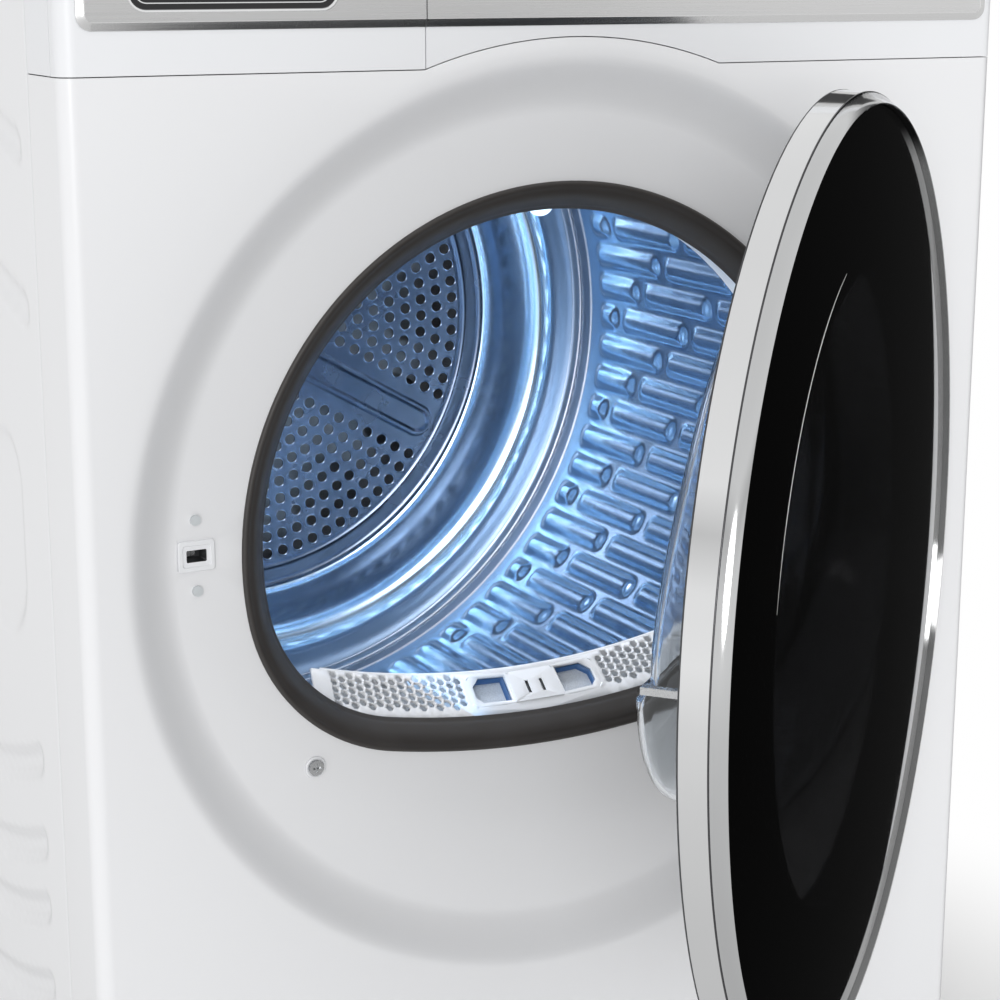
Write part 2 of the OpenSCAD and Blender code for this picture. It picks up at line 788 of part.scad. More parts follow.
// Section of the drum's rear wall: a rounded shoulder round a recessed disc.
shoulder = concat(
    [[drum_r, drum_back], [drum_r - 2, drum_back], [274, drum_back - 1]],
    arc(258, drum_back + 1, 15, 0, -60, 4),
    arc(258, drum_back + 1, 15, -75, -150, 4),
    arc(disc_r + 6, disc_y - 12, 12, 20, 90, 5)
);
module drum_rear_wall() {
    color(steel) at_drum() difference() {
        revolve_y($fn = 180) polygon(concat(shoulder, [[0, disc_y], [0, disc_y + 2]],
            lowered(reversed(shoulder), 2)));
        for (k = [0:8], sector = [0:2]) {
            ring = 189 - 14.2 * k;
            side = asin(27.6 / ring);
            count = 25 - 2 * k;
            for (i = [0:2:count])
                rotate([0, -(-30 + sector * 120 + side + (120 - 2 * side) * i / count), 0])
                    translate([ring, 0, 0]) rod_y(air_hole_d / 2, disc_y - 1, disc_y + 3, $fn = 24);
        }
    }
}

module door_ring() {
    r = ring_r;
    color("#e8e9ea") at_door() difference() {
        revolve_y($fn = 180) polygon([[r, door_back], [r - 0.8, door_back - 13.7], [r - 6.4, door_front],
            [r - 7, door_front + 0.3], [r - 7, glass_y + glass_t], [r - 3.2, glass_y + glass_t + 3],
            [r - 3.2, door_back]]);
        for (s = [-1, 1]) box([240, r + 2], [door_back - 9, door_back + 1],
            [s * lug_z - lug_t / 2 - 0.8, s * lug_z + lug_t / 2 + 0.8]);
    }
}
module door_glass() {
    dome_r = (glass_r * glass_r + glass_dome * glass_dome) / (2 * glass_dome);
    color([0.05, 0.05, 0.06, 0.85]) at_door() intersection() {
        rod_y(glass_r, glass_y - 30, glass_y + 10, $fn = 180);
        difference() {
            translate([0, glass_y - glass_dome + dome_r, 0]) sphere(r = dome_r, $fn = 360);
            translate([0, glass_y - glass_dome + glass_t + dome_r, 0]) sphere(r = dome_r, $fn = 360);
            box([-300, 300], [glass_y + glass_t, 2 * dome_r], [-300, 300]);
        }
    }
}
module door_frame() {
    r_out = ring_r - 3.5;
    pocket = [204, 262];
    rim_y = glass_y + glass_t + 3.4;
    color(dark) at_door() {
        difference() {
            union() {
                revolve_y($fn = 180) polygon([[r_out, door_back], [r_out, rim_y],
                    [r_out - 2.5, rim_y], [r_out - 2.5, door_back - 2.5],
                    [frame_in_r + 2.5, door_back - 2.5], [frame_in_r + 2.5, door_front + 4.5],
                    [frame_in_r, door_front + 4.5], [frame_in_r, door_back]]);
                intersection() {
                    box([pocket[0] - 2.5, r_out], [pocket_y - 1.9, door_back], [-32.5, 32.5]);
                    rod_y(glass_r - 0.2, -30, 0);
                }
            }
            box(pocket, [pocket_y, 5], [-30, 30]);
            box([latch_x - 3, latch_x + 3], [door_back - 4, 1], [latch_h - 2, latch_h + 2]);
        }
    }
}
// Outer or inner body of the bowl: a sloping upper part and a deeper lower part.
module bowl_body(shrink) {
    ledge_z = -18;
    intersection() {
        along_y(door_back - 3, 60) port_shape(32 + shrink);
        union() {
            box([-200, 200], [door_back - 3, 49.5 - shrink], [-200, ledge_z - shrink]);
            intersection() {
                translate([0, 42 - shrink, 0]) rotate([4, 0, 0])
                    box([-200, 200], [-90, 0], [-60, 300]);
                box([-200, 200], [door_back - 3, 60], [ledge_z - shrink - 0.1, 200]);
            }
        }
    }
}
module door_bowl() {
    color([0.85, 0.92, 0.97, 0.35]) at_door() {
        difference() {
            bowl_body(0);
            bowl_body(3);
            along_y(door_back - 4, door_back - 2) port_shape(35);
        }
        along_y(door_back - 5.4, door_back - 2.9) difference() {
            circle(frame_in_r - 0.3, $fn = 180);
            port_shape(35);
        }
    }
}
module door_hinge_leaf() {
    color(zinc) at_door() difference() {
        union() {
            translate([hinge_x, hinge_y, -lug_z + lug_t / 2 + 0.5]) cylinder(r = eye_r, h = 2 * lug_z - lug_t - 1);
            box([206, hinge_x], [pocket_y + 0.4, pocket_y + 3.2], [-20, 20]);
        }
        translate([hinge_x, hinge_y, -40]) cylinder(r = pin_r + run, h = 80);
    }
}
module door_latch_hook() {
    color(steel) at_door() translate([latch_x, 0, latch_h]) {
        box([-6, 6], [door_back, door_back + 2], [-7, 7]);
        box([-2.5, 1.5], [door_back - 3.5, 24], [-1.8, 1.8]);
        box([-2.5, 3.5], [20, 24], [-1.8, 1.8]);
    }
}

module water_tank() {
    x = [-285, -102];
    color([0.75, 0.8, 0.84, 0.6]) in_cabinet() difference() {
        box(x, [20, 498], [tank_floor + 3.2, 823]);
        box([x[0] + 2.5, x[1] - 2.5], [22.5, 495.5], [tank_floor + 5.7, 820.5]);
        translate([-240, 465, 819]) cylinder(r = 20, h = 6);
        translate([-274, 0, 784]) rod_y(4, 490, 500);
    }
}
module drawer_front() {
    z0 = seam_z + gap / 2;
    color(white) in_cabinet() difference() {
        union() {
            translate([0, 0, z0]) linear_extrude(drawer_top - z0) intersection() {
                difference() {
                    cover_plan(0);
                    cover_plan(3);
                }
                translate([-half_w - 1, -1])
                    square([half_w + 1 + split_x - gap / 2, drawer_edge_y + 1]);
            }
            box([split_x - gap / 2 - 3, split_x - gap / 2], [2, drawer_edge_y], [z0, drawer_top]);
            box([handle_x - 6, handle_x + handle_w + 6], [2, 20], [handle_z - 6, handle_z + handle_h + 6]);
        }
        box([handle_x, handle_x + handle_w], [-1, 16], [handle_z, handle_z + handle_h]);
    }
}
module drawer_trim() {
    color(steel) in_cabinet() difference() {
        trim_plate(trim_left, split_x - gap / 2, true, false);
        box([handle_x, handle_x + handle_w], [-3, 1], [handle_z, handle_z + handle_h]);
    }
}
// Black recessed grip: a shallow cup with a lip that the fingers pull.
module drawer_handle() {
    color("#0c0d0e") in_cabinet() difference() {
        box([handle_x + 0.1, handle_x + handle_w - 0.1], [-trim_t - 0.6, 16],
            [handle_z + 0.1, handle_z + handle_h - 0.1]);
        box([handle_x + 4, handle_x + handle_w - 4], [0.5, 13.5], [handle_z + 18, handle_z + handle_h - 3]);
        box([handle_x + 4, handle_x + handle_w - 4], [-4, 1], [handle_z + 36, handle_z + handle_h - 3]);
    }
}

module lint_filter() {
    head = [[537.8, 34], [517, 58], [517, 62], [545, 62], [545, 34]];
    cavity = [[538.5, 36.5], [519.4, 58.5], [519.4, 59.5], [546, 59.5], [546, 36.5]];
    color(white) at_port() {
        difference() {
            filter_head(head, 11.4, 150);
            filter_head(cavity, 13.8, 145);
            translate([0, 0, base_arc_z]) for (s = [-1, 1]) {
                for (i = [0:7], d = [-7.5, 2.5])
                    rotate([0, s * (4.9 + 1.17 * i), 0]) translate([0, 46, -528]) rotate([41, 0, 0])
                        box([-4.2, 4.2], [-14, 14], [d - 1.8, d + 6.6]);
                rotate([0, s * 2.6, 0]) translate([0, 46, -528]) rotate([41, 0, 0])
                    box([-9, 9], [-14, 14], [-8, 8]);
            }
        }
        difference() {
            box([-112, 112], [38, 58.5], [-296, -121]);
            box([-109, 109], [40.5, 56], [-293.5, -110]);
            for (x = [-106, -34, 38], z = [-286, -204])
                box([x, x + 68], [37, 60], [z, z + 74]);
        }
    }
}
module filter_head(section, inset, half) {
    intersection() {
        along_y(30, 64) port_shape(inset);
        translate([0, 0, base_arc_z]) revolve_y($fn = 360) polygon(section);
        box([-half, half], [20, 70], [-140, -60]);
    }
}

module program_knob() {
    color(steel) in_cabinet() translate([knob_x, 0, knob_z]) difference() {
        union() {
            rod_y(knob_d / 2, -trim_t - 22, -trim_t - 1);
            rod_y(5.4, -trim_t - 1.1, 19.5);
        }
        box([-1, 1], [-trim_t - 23, -trim_t - 20], [12, knob_d]);
    }
}
module start_button() {
    color(steel) in_cabinet() translate([button_x, 0, knob_z]) {
        rod_y(button_r, -trim_t - 2, 4);
        rod_y(button_r + 2, 3.3, 5.3);
        rod_y(2, 5.2, 21.5);
    }
}

module foot(x, y) {
    color(dark) in_cabinet() translate([x, y, 0]) {
        cylinder(r = 19, h = 10);
        translate([0, 0, 9.9]) cylinder(r = 11, h = base_z - 10.3);
        translate([0, 0, 10]) cylinder(r = 5, h = 34);
    }
}
module foot_front_left() { foot(-foot_x, foot_front_y); }
module foot_front_right() { foot(foot_x, foot_front_y); }
module foot_rear_left() { foot(-foot_x, foot_rear_y); }
module foot_rear_right() { foot(foot_x, foot_rear_y); }

front_panel();
left_side_panel();
right_side_panel();
rear_panel();
rear_duct_cover();
worktop();
fascia();
control_trim();
display_window();
base_tray();
front_bulkhead();
door_gasket();
drum_front_seal();
latch_receptacle();
front_plugs();
front_screws();
drum_lamp();
heat_exchanger_cover();
evaporator();
condenser();
refrigerant_pipes();
compressor();
motor_housing();
fan_housing();
rear_bearing();
roller_brackets();
condensate_pump();
drain_hose();
control_board();
tank_tray();
cable_gland();
hinge_bracket();
hinge_pin();
drive_belt();
door_ring();
door_glass();
door_frame();
door_bowl();
door_hinge_leaf();
door_latch_hook();
drum_shell();
drum_rear_wall();
drum_shaft();
motor_rotor();
fan_wheel();
tension_arm();
idler_wheel();
support_roller_left();
support_roller_right();
water_tank();
drawer_front();
drawer_trim();
drawer_handle();
lint_filter();
program_knob();
start_button();
foot_front_left();
foot_front_right();
foot_rear_left();
foot_rear_right();
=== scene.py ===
"""Looks of a front-loading clothes dryer with its round door standing open.

Lengths in this script are millimetres: X to the right, Y from the front panel
to the back, Z up from the floor. at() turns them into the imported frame's metres.
"""
import bpy
import bmesh
import json
import math
import numpy as np
from mathutils import Matrix, Vector
from mathutils.geometry import delaunay_2d_cdt


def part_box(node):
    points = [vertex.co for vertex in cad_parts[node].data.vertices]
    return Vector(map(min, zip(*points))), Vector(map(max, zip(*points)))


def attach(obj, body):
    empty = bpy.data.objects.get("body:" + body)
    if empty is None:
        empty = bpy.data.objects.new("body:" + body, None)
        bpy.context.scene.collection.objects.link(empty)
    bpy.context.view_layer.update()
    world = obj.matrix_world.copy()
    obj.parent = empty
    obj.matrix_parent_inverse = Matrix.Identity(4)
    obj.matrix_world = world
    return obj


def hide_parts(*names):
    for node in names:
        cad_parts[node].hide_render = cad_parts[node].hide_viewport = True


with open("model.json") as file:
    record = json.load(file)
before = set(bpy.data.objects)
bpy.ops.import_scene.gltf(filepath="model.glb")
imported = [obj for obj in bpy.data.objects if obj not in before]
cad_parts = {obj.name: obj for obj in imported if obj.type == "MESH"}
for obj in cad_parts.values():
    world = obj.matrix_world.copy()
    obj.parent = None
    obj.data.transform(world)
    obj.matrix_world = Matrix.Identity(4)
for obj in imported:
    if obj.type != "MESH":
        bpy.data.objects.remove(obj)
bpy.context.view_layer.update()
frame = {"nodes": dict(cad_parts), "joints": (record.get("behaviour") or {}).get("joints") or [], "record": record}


def box_of(node):
    """The low and the high corner of a node's box, in the frame's millimetres."""
    return [[c * 1000 for c in corner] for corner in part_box(node)]


def joint_place(name):
    """Where a joint sits, in millimetres."""
    found = next(j for j in frame["joints"] if j["name"] == name)
    return Vector(found["pos_m"]) * 1000


# ---- dimensions
FRONT = box_of("front_panel")[0][1]  # the front panel's plane, in the frame's Y
HALF_W = box_of("front_panel")[1][0]  # half the cabinet's width
WRAP = box_of("front_panel")[1][1] - FRONT  # how far the front panel reaches along the sides
TOP = box_of("worktop")[0][2]  # underside of the worktop
PORT_Z = joint_place("door_hinge").z  # height of the door opening's centre
DRUM_Z = joint_place("drum_spin").z  # height of the drum's axis
HINGE = Vector((joint_place("door_hinge").x, joint_place("door_hinge").y - FRONT, PORT_Z))
SHEET = 1.2  # thickness of the enamelled sheet
CORNER = 9.0  # radius of the cabinet's vertical front corners
PANEL_FOOT = 14  # height of the front panel's lower edge
DOOR_OPEN = math.radians(40.6)  # how far the door stands open at rest
SEAM_Z, SEAM_GAP = 697.5, 0.6  # the seam under the control panel
ARCH_R = 282.5  # the seam's arch over the dish
PORT_R, PORT_CORNER_R, PORT_BASE_R = 200.0, 110.0, 550.0  # the door opening's three radii
PORT_DROP = 134.0  # from the opening's centre to its lowest point
DISH_FLOOR = 16.0  # depth of the dish round the opening
DISC_Y = 534.0  # plane of the drum's rear disc
DRUM_IN, DRUM_OUT = 286.0, 288.0  # radii of the drum wall's two faces
SCREW = (-160, PORT_Z - 126)  # the screw in the dish's floor, as (x, z)
LATCH_X, LATCH_Z = (-238.4, -217.6), (430.6, 447.4)  # slot for the latch receptacle
CATCH_X, CATCH_Z = (-233.8, -222.2), (435.6, 442.4)  # the receptacle's own opening
AXIS = 0.01  # a turned profile's last radius, closed by the weld


def at(x, y, z):
    """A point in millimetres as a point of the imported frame."""
    return Vector((x, y + FRONT, z)) / 1000


# ---- materials
def put(node, **values):
    """Sets a node's inputs; an underscore in a name stands for a space."""
    for key, value in values.items():
        node.inputs[key.replace("_", " ")].default_value = value


def map_range(nodes, low, high, to_low=0.0, to_high=1.0, smooth=False):
    """A node that maps one range of values to another."""
    made = nodes.new("ShaderNodeMapRange")
    made.interpolation_type = "SMOOTHSTEP" if smooth else "LINEAR"
    put(made, From_Min=low, From_Max=high, To_Min=to_low, To_Max=to_high)
    return made


def join(tree, *wires):
    """Links (node, output, node, input) in a node tree."""
    for source, output, target, socket in wires:
        tree.links.new(source.outputs[output], target.inputs[socket])


def material(name, colour, roughness, metallic=0.0, vary=0.03, grain=40, rough_vary=0.06,
             bump=0.0, bump_scale=900, fine=0.0, fine_scale=2500, **sockets):
    """A Principled material whose colour, roughness and relief come from noise.

    vary and rough_vary are how far colour and roughness wander at the grain scale,
    bump and fine are the heights of two reliefs in millimetres. A scale is one number
    or one for each axis. The rest are the shader's own sockets by name.
    """
    made = bpy.data.materials.new(name)
    made.use_nodes = True
    tree = made.node_tree
    nodes = tree.nodes
    shader = nodes["Principled BSDF"]
    put(shader, Metallic=metallic, **sockets)
    place = nodes.new("ShaderNodeTexCoord")

    def noise(scale):
        """A noise texture stretched by scale over the object's own coordinates."""
        spread = nodes.new("ShaderNodeMapping")
        put(spread, Scale=scale if isinstance(scale, tuple) else (scale,) * 3)
        texture = nodes.new("ShaderNodeTexNoise")
        put(texture, Scale=1.0, Detail=4.0)
        join(tree, (place, "Object", spread, "Vector"), (spread, "Vector", texture, "Vector"))
        return texture

    patches = noise(grain)
    tint = nodes.new("ShaderNodeMix")
    tint.data_type = "RGBA"
    put(tint, A=[c * (1 - vary) for c in colour] + [1],
        B=[min(1.0, c * (1 + vary)) for c in colour] + [1])
    span = map_range(nodes, 0.3, 0.7, max(0.0, roughness - rough_vary), min(1.0, roughness + rough_vary))
    join(tree, (patches, "Fac", tint, "Factor"), (tint, "Result", shader, "Base Color"),
         (patches, "Fac", span, "Value"), (span, "Result", shader, "Roughness"))
    surface = None
    for height, scale in ((bump, bump_scale), (fine, fine_scale)):
        if height:
            relief = nodes.new("ShaderNodeBump")
            put(relief, Strength=1.0, Distance=height / 1000)
            join(tree, (noise(scale), "Fac", relief, "Height"))
            if surface:
                join(tree, (surface, "Normal", relief, "Normal"))
            surface = relief
    if surface:
        join(tree, (surface, "Normal", shader, "Normal"))
    return made


ENAMEL = material(
    "white_enamel", (0.80, 0.805, 0.82), 0.32, vary=0.006, rough_vary=0.03, grain=9, bump=0.015,
    bump_scale=260, Coat_Weight=0.35, Coat_Roughness=0.12)
WHITE_PLASTIC = material(
    "white_plastic", (0.80, 0.81, 0.83), 0.38, vary=0.012, grain=25, fine=0.012, fine_scale=1800)
TRIM_METAL = material(
    "brushed_trim", (0.60, 0.60, 0.60), 0.30, metallic=1.0, vary=0.10, rough_vary=0.08,
    grain=(9, 900, 900), fine=0.012, fine_scale=(14, 2200, 2200))
TRIM_LIP = material(
    "trim_lip", (0.76, 0.76, 0.76), 0.22, metallic=1.0, vary=0.04, grain=(9, 700, 700), rough_vary=0.05,
    fine=0.006, fine_scale=(14, 1800, 1800))
CHROME = material(
    "polished_chrome", (0.86, 0.865, 0.87), 0.07, metallic=1.0, vary=0.015, rough_vary=0.03, grain=35)
# A darker copy of the ring's chrome for its bevel: painted shade standing for the bevel's darker reflections.
BEVEL_CHROME_PAINTED_SHADE = material(
    "bevel_chrome_painted_shade", (0.66, 0.665, 0.67), 0.10, metallic=1.0, vary=0.02, rough_vary=0.03, grain=35)
# Pale colour for the arc on the door glass: a painted highlight that stands for a reflection, not print.
PAINTED_HIGHLIGHT_WHITE = material("painted_highlight_line", (0.72, 0.72, 0.70), 0.3, vary=0.05, grain=60)
# Near-black chrome for a thin line round the door ring's back edge: a painted dark reflection.
PAINTED_DARK_LINE_CHROME = material("painted_dark_line_chrome", (0.10, 0.10, 0.105), 0.25, metallic=1.0, vary=0.05)
BLACK_GLASS = material(
    "black_glass", (0.020, 0.020, 0.021), 0.03, vary=0.2, rough_vary=0.01, grain=18,
    Transmission_Weight=1.0, IOR=1.33)
BLACK_GLOSS = material("black_gloss", (0.008, 0.008, 0.009), 0.09, vary=0.2, rough_vary=0.03, grain=60)
CLEAR = material(
    "clear_plastic", (0.93, 0.965, 1.0), 0.03, vary=0.01, rough_vary=0.015, grain=30,
    Transmission_Weight=1.0, IOR=1.46)
LENS = material(
    "lamp_lens", (0.82, 0.92, 1.0), 0.2, vary=0.02, grain=200, Transmission_Weight=0.6, IOR=1.46,
    Emission_Strength=0.8, Emission_Color=(0.62, 0.82, 1.0, 1.0))
# The drum's steel is tinted blue: painted light standing for the drum lamp's blue glow on plain steel.
DRUM_STEEL_PAINTED_BLUE_LIGHT = material(
    "drum_steel", (0.55, 0.70, 0.85), 0.22, metallic=1.0, vary=0.05, rough_vary=0.05, grain=(14, 60, 14),
    fine=0.006, fine_scale=(240, 1400, 240))
# A much darker, bluer copy of the drum's steel for the rear disc: painted shade and painted blue light on the same
# steel.
DISC_STEEL_PAINTED_SHADE = material(
    "disc_steel_painted_shade", (0.15, 0.18, 0.24), 0.24, metallic=1.0, vary=0.06, rough_vary=0.06, grain=40,
    fine=0.010, fine_scale=900)
SEAM_STEEL = material(
    "seam_steel", (0.42, 0.44, 0.50), 0.38, metallic=1.0, vary=0.06, rough_vary=0.06,
    grain=(300, 60, 300), fine=0.012, fine_scale=(1800, 600, 1800))
RUBBER = material(
    "gasket_rubber", (0.042, 0.038, 0.036), 0.50, vary=0.12, rough_vary=0.08, grain=60, fine=0.02,
    fine_scale=1500)
BLACK_RUBBER = material(
    "black_rubber", (0.022, 0.022, 0.023), 0.6, vary=0.15, rough_vary=0.08, grain=90, fine=0.03,
    fine_scale=1300)
# Zinc-coated steel's own grey, darkened further as painted shade so the duct seen through the drum's air holes
# looks dark.
GALVANISED_DARKENED_AS_SHADE = material(
    "galvanised", (0.44, 0.46, 0.48), 0.42, metallic=0.9, vary=0.10, rough_vary=0.12, grain=110,
    fine=0.01, fine_scale=700)
STEEL = material(
    "plain_steel", (0.62, 0.63, 0.64), 0.27, metallic=1.0, vary=0.06, rough_vary=0.07, grain=500,
    fine=0.004, fine_scale=2500)
GREY_PLASTIC = material(
    "grey_plastic", (0.26, 0.28, 0.30), 0.55, vary=0.05, grain=60, fine=0.03, fine_scale=1100)
DARK_PLASTIC = material(
    "dark_plastic", (0.035, 0.037, 0.040), 0.5, vary=0.12, grain=60, fine=0.03, fine_scale=1100)
# Dark blue for the cups behind the filter's finger grips: painted shade lit by the drum's blue light.
PAINTED_BLUE_SHADE = material("painted_blue_shade", (0.05, 0.13, 0.30), 0.45, vary=0.12, grain=40)
FELT = material(
    "felt", (0.16, 0.15, 0.14), 0.95, vary=0.25, grain=900, bump=0.25, bump_scale=1500, Sheen_Weight=0.6)
BOARD = material("board_green", (0.02, 0.13, 0.05), 0.4, vary=0.15, grain=300, fine=0.03, fine_scale=500)
COPPER = material("copper", (0.72, 0.36, 0.20), 0.30, metallic=1.0, vary=0.10, grain=80)
BLACK_ENAMEL = material(
    "black_enamel", (0.02, 0.021, 0.022), 0.35, vary=0.1, grain=50, bump=0.05, bump_scale=300,
    Coat_Weight=0.3)
GAUZE = material(
    "filter_gauze", (0.62, 0.66, 0.70), 0.6, vary=0.35, grain=1400, bump=0.3, bump_scale=1600)
MILKY = material(
    "milky_plastic", (0.74, 0.78, 0.80), 0.4, vary=0.03, grain=25, fine=0.02, fine_scale=900,
    Transmission_Weight=0.25, IOR=1.5)

BY_SLOT = {
    "white_enamel": ENAMEL, "galvanised": GALVANISED_DARKENED_AS_SHADE, "white_plastic": WHITE_PLASTIC,
    "brushed_trim": TRIM_METAL, "chrome_ring": CHROME, "black_gloss": BLACK_GLOSS,
    "black_glass": BLACK_GLASS, "clear_bowl": CLEAR, "drum_steel": DRUM_STEEL_PAINTED_BLUE_LIGHT, "plain_steel": STEEL,
    "gasket_rubber": RUBBER, "black_rubber": BLACK_RUBBER, "grey_plastic": GREY_PLASTIC,
    "dark_plastic": DARK_PLASTIC, "felt": FELT, "board_green": BOARD, "copper": COPPER,
    "lamp_lens": LENS, "black_enamel": BLACK_ENAMEL, "milky_plastic": MILKY,
}
slot_of = {part["node"]: part["material_slot"] for part in frame["record"]["subparts"]}
for node_name, node_object in frame["nodes"].items():
    node_object.data.materials.clear()
    node_object.data.materials.append(BY_SLOT[slot_of[node_name]])
frame["nodes"]["front_plugs"].data.materials[0] = MILKY


# ---- mesh helpers
class Shape:
    """Points and faces of one piece, gathered part by part, in millimetres."""

    def __init__(self):
        self.points = []
        self.faces = []
        self.looks = []

    def add(self, points, faces, look=0):
        """Takes in points and the faces between them, all with one look."""
        first = len(self.points)
        self.points.extend(Vector(p) for p in points)
        self.faces.extend([first + i for i in face] for face in faces)
        self.looks.extend([look] * len(faces))

    def grid(self, rows, look=0, round_u=False, round_v=False):
        """A quilt of quads through rows of points.

        round_u joins each row's ends, round_v joins the last row to the first.
        """
        nv, nu = len(rows), len(rows[0])
        faces = []
        for v in range(nv if round_v else nv - 1):
            for u in range(nu if round_u else nu - 1):
                a, b = v * nu + u, v * nu + (u + 1) % nu
                c, d = ((v + 1) % nv) * nu + (u + 1) % nu, ((v + 1) % nv) * nu + u
                faces.append((a, b, c, d))
        self.add([p for row in rows for p in row], faces, look)

    def lathe(self, profile, centre, n, look=0, closed=False):
        """A profile of (radius, y) turned in n steps about the Y axis through centre = (x, z)."""
        turn = [2 * math.pi * k / n for k in range(n)]
        rows = [[(centre[0] + r * math.cos(a), y, centre[1] + r * math.sin(a)) for a in turn]
                for r, y in profile]
        self.grid(rows, look, round_u=True, round_v=closed)

    def bands(self, rings, look=0):
        """Bands of quads between flat outlines, each an (outline, y)."""
        self.grid([[(x, y, z) for x, z in ring] for ring, y in rings], look, round_u=True)

    def plate(self, outline, y, holes=(), look=0):
        """A flat plate at y with holes."""
        flat, faces = sheet(outline, holes)
        self.add([(x, y, z) for x, z in flat], faces, look)

    def box(self, x, y, z, look=0):
        """A box between two values of each of x, y and z."""
        corners = [(x[i], y[j], z[k]) for i in (0, 1) for j in (0, 1) for k in (0, 1)]
        self.add(corners, [(0, 1, 3, 2), (4, 6, 7, 5), (0, 4, 5, 1),
                           (2, 3, 7, 6), (0, 2, 6, 4), (1, 5, 7, 3)], look)

    def piece(self, name, body, looks, nodes=(), slot=None, turn=None, crease=35, thick=0.0,
              weld=0.01, bevel=0.0, even=False):
        """Makes the object, joins coincident points and puts it on its body.

        turn moves it to its place at rest and crease is the angle of a sharp edge. even
        lets the large faces rule the shading, for flat sheets with small relief.
        """
        mesh = bpy.data.meshes.new(name)
        spots = [at(*p) for p in self.points]
        mesh.from_pydata([turn @ s for s in spots] if turn else spots, [], self.faces)
        for look in looks:
            mesh.materials.append(look)
        mesh.polygons.foreach_set("material_index", self.looks)
        cleaner = bmesh.new()
        cleaner.from_mesh(mesh)
        bmesh.ops.remove_doubles(cleaner, verts=cleaner.verts, dist=weld / 1000)
        bmesh.ops.dissolve_degenerate(cleaner, edges=cleaner.edges, dist=1e-7)
        bmesh.ops.recalc_face_normals(cleaner, faces=cleaner.faces)
        cleaner.to_mesh(mesh)
        cleaner.free()
        mesh.polygons.foreach_set("use_smooth", [True] * len(mesh.polygons))
        mesh.set_sharp_from_angle(angle=math.radians(crease))
        made = bpy.data.objects.new(name, mesh)
        bpy.context.scene.collection.objects.link(made)
        if thick:
            shell = made.modifiers.new("thickness", "SOLIDIFY")
            shell.thickness = thick / 1000
            shell.offset = -1
        if bevel:
            soften(made, bevel)
        if even:
            shading = made.modifiers.new("even_shading", "WEIGHTED_NORMAL")
            shading.keep_sharp = True
        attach(made, body)
        if nodes:
            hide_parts(*nodes)


def soften(thing, width):
    """Rounds the sharp edges so that they catch the light."""
    edge = thing.modifiers.new("soft_edges", "BEVEL")
    edge.width = width / 1000
    edge.segments = 3
    edge.limit_method = "ANGLE"
    edge.angle_limit = math.radians(40)
    edge.harden_normals = False


def arc(cx, cy, r, start, end, n):
    """n + 1 points on an arc, angles in degrees."""
    return [(cx + r * math.cos(math.radians(start + (end - start) * i / n)),
             cy + r * math.sin(math.radians(start + (end - start) * i / n))) for i in range(n + 1)]


def ring_of(x, z, r, n):
    """n points round a circle, the first one not repeated."""
    return arc(x, z, r, 0, 360, n)[:-1]


def raised(flat, height):
    """Flat points moved up by a height."""
    return [(x, z + height) for x, z in flat]


def rounded_rect(x0, x1, z0, z1, r, n):
    """A rectangle with rounded corners of n steps each, counter-clockwise."""
    return (arc(x1 - r, z0 + r, r, -90, 0, n) + arc(x1 - r, z1 - r, r, 0, 90, n)
            + arc(x0 + r, z1 - r, r, 90, 180, n) + arc(x0 + r, z0 + r, r, 180, 270, n))


def inside(points, outline):
    """True for each point that lies inside the outline."""
    points, ring = np.asarray(points, float), np.asarray(outline, float)
    x, y = points[:, 0], points[:, 1]
    result = np.zeros(len(points), bool)
    for (x0, y0), (x1, y1) in zip(ring, np.roll(ring, -1, axis=0)):
        if y0 != y1:
            crosses = (y0 > y) != (y1 > y)
            result ^= crosses & (x < x0 + (y - y0) * (x1 - x0) / (y1 - y0))
    return result


def sheet(outline, holes=(), lines=(), extra=()):
    """Triangles that fill an outline but not its holes, with lines kept as edges.

    Returns the flat points and the triangles.
    """
    spots, edges = [], []
    for loop, closed in [(outline, True)] + [(h, True) for h in holes] + [(c, False) for c in lines]:
        first = len(spots)
        spots.extend(loop)
        edges.extend((first + i, first + i + 1) for i in range(len(loop) - 1))
        if closed:
            edges.append((first + len(loop) - 1, first))
    spots.extend(extra)
    flat, _, faces, _, _, _ = delaunay_2d_cdt([Vector(s) for s in spots], edges, [], 0, 1e-5)
    faces = [tuple(f) for f in faces]
    middle = np.array([np.mean([flat[i] for i in f], axis=0) for f in faces])
    keep = inside(middle, outline)
    for hole in holes:
        near = np.asarray(hole, float)
        low, high = near.min(axis=0), near.max(axis=0)
        close = keep & np.all((middle >= low) & (middle <= high), axis=1)
        index = np.flatnonzero(close)
        if len(index):
            keep[index[inside(middle[index], hole)]] = False
    return [tuple(p) for p in flat], [f for f, k in zip(faces, keep) if k]


def smooth_step(t):
    """Rises from 0 to 1 while t does, with level ends."""
    t = np.clip(t, 0.0, 1.0)
    return t * t * (3 - 2 * t)


def rounded_gap(qx, qy, corner):
    """Distance out of a rounded rectangle, from the distances past its corners' centres."""
    return np.hypot(np.maximum(qx, 0), np.maximum(qy, 0)) + np.minimum(np.maximum(qx, qy), 0) - corner


# ---- outline of the door opening
def port_angles():
    """Where the opening's corner arcs meet its large arc and its base arc."""
    base_z = PORT_BASE_R - PORT_DROP
    reach = PORT_R - PORT_CORNER_R
    corner_z = (base_z ** 2 + reach ** 2 - (PORT_BASE_R - PORT_CORNER_R) ** 2) / (2 * base_z)
    corner_x = math.sqrt(reach ** 2 - corner_z ** 2)
    side = math.degrees(math.asin(corner_z / reach))
    base = 270 - math.degrees(math.asin(corner_x / (PORT_BASE_R - PORT_CORNER_R)))
    return base_z, corner_x, corner_z, side, base


BASE_Z, CORNER_X, CORNER_Z, SIDE_A, BASE_A = port_angles()


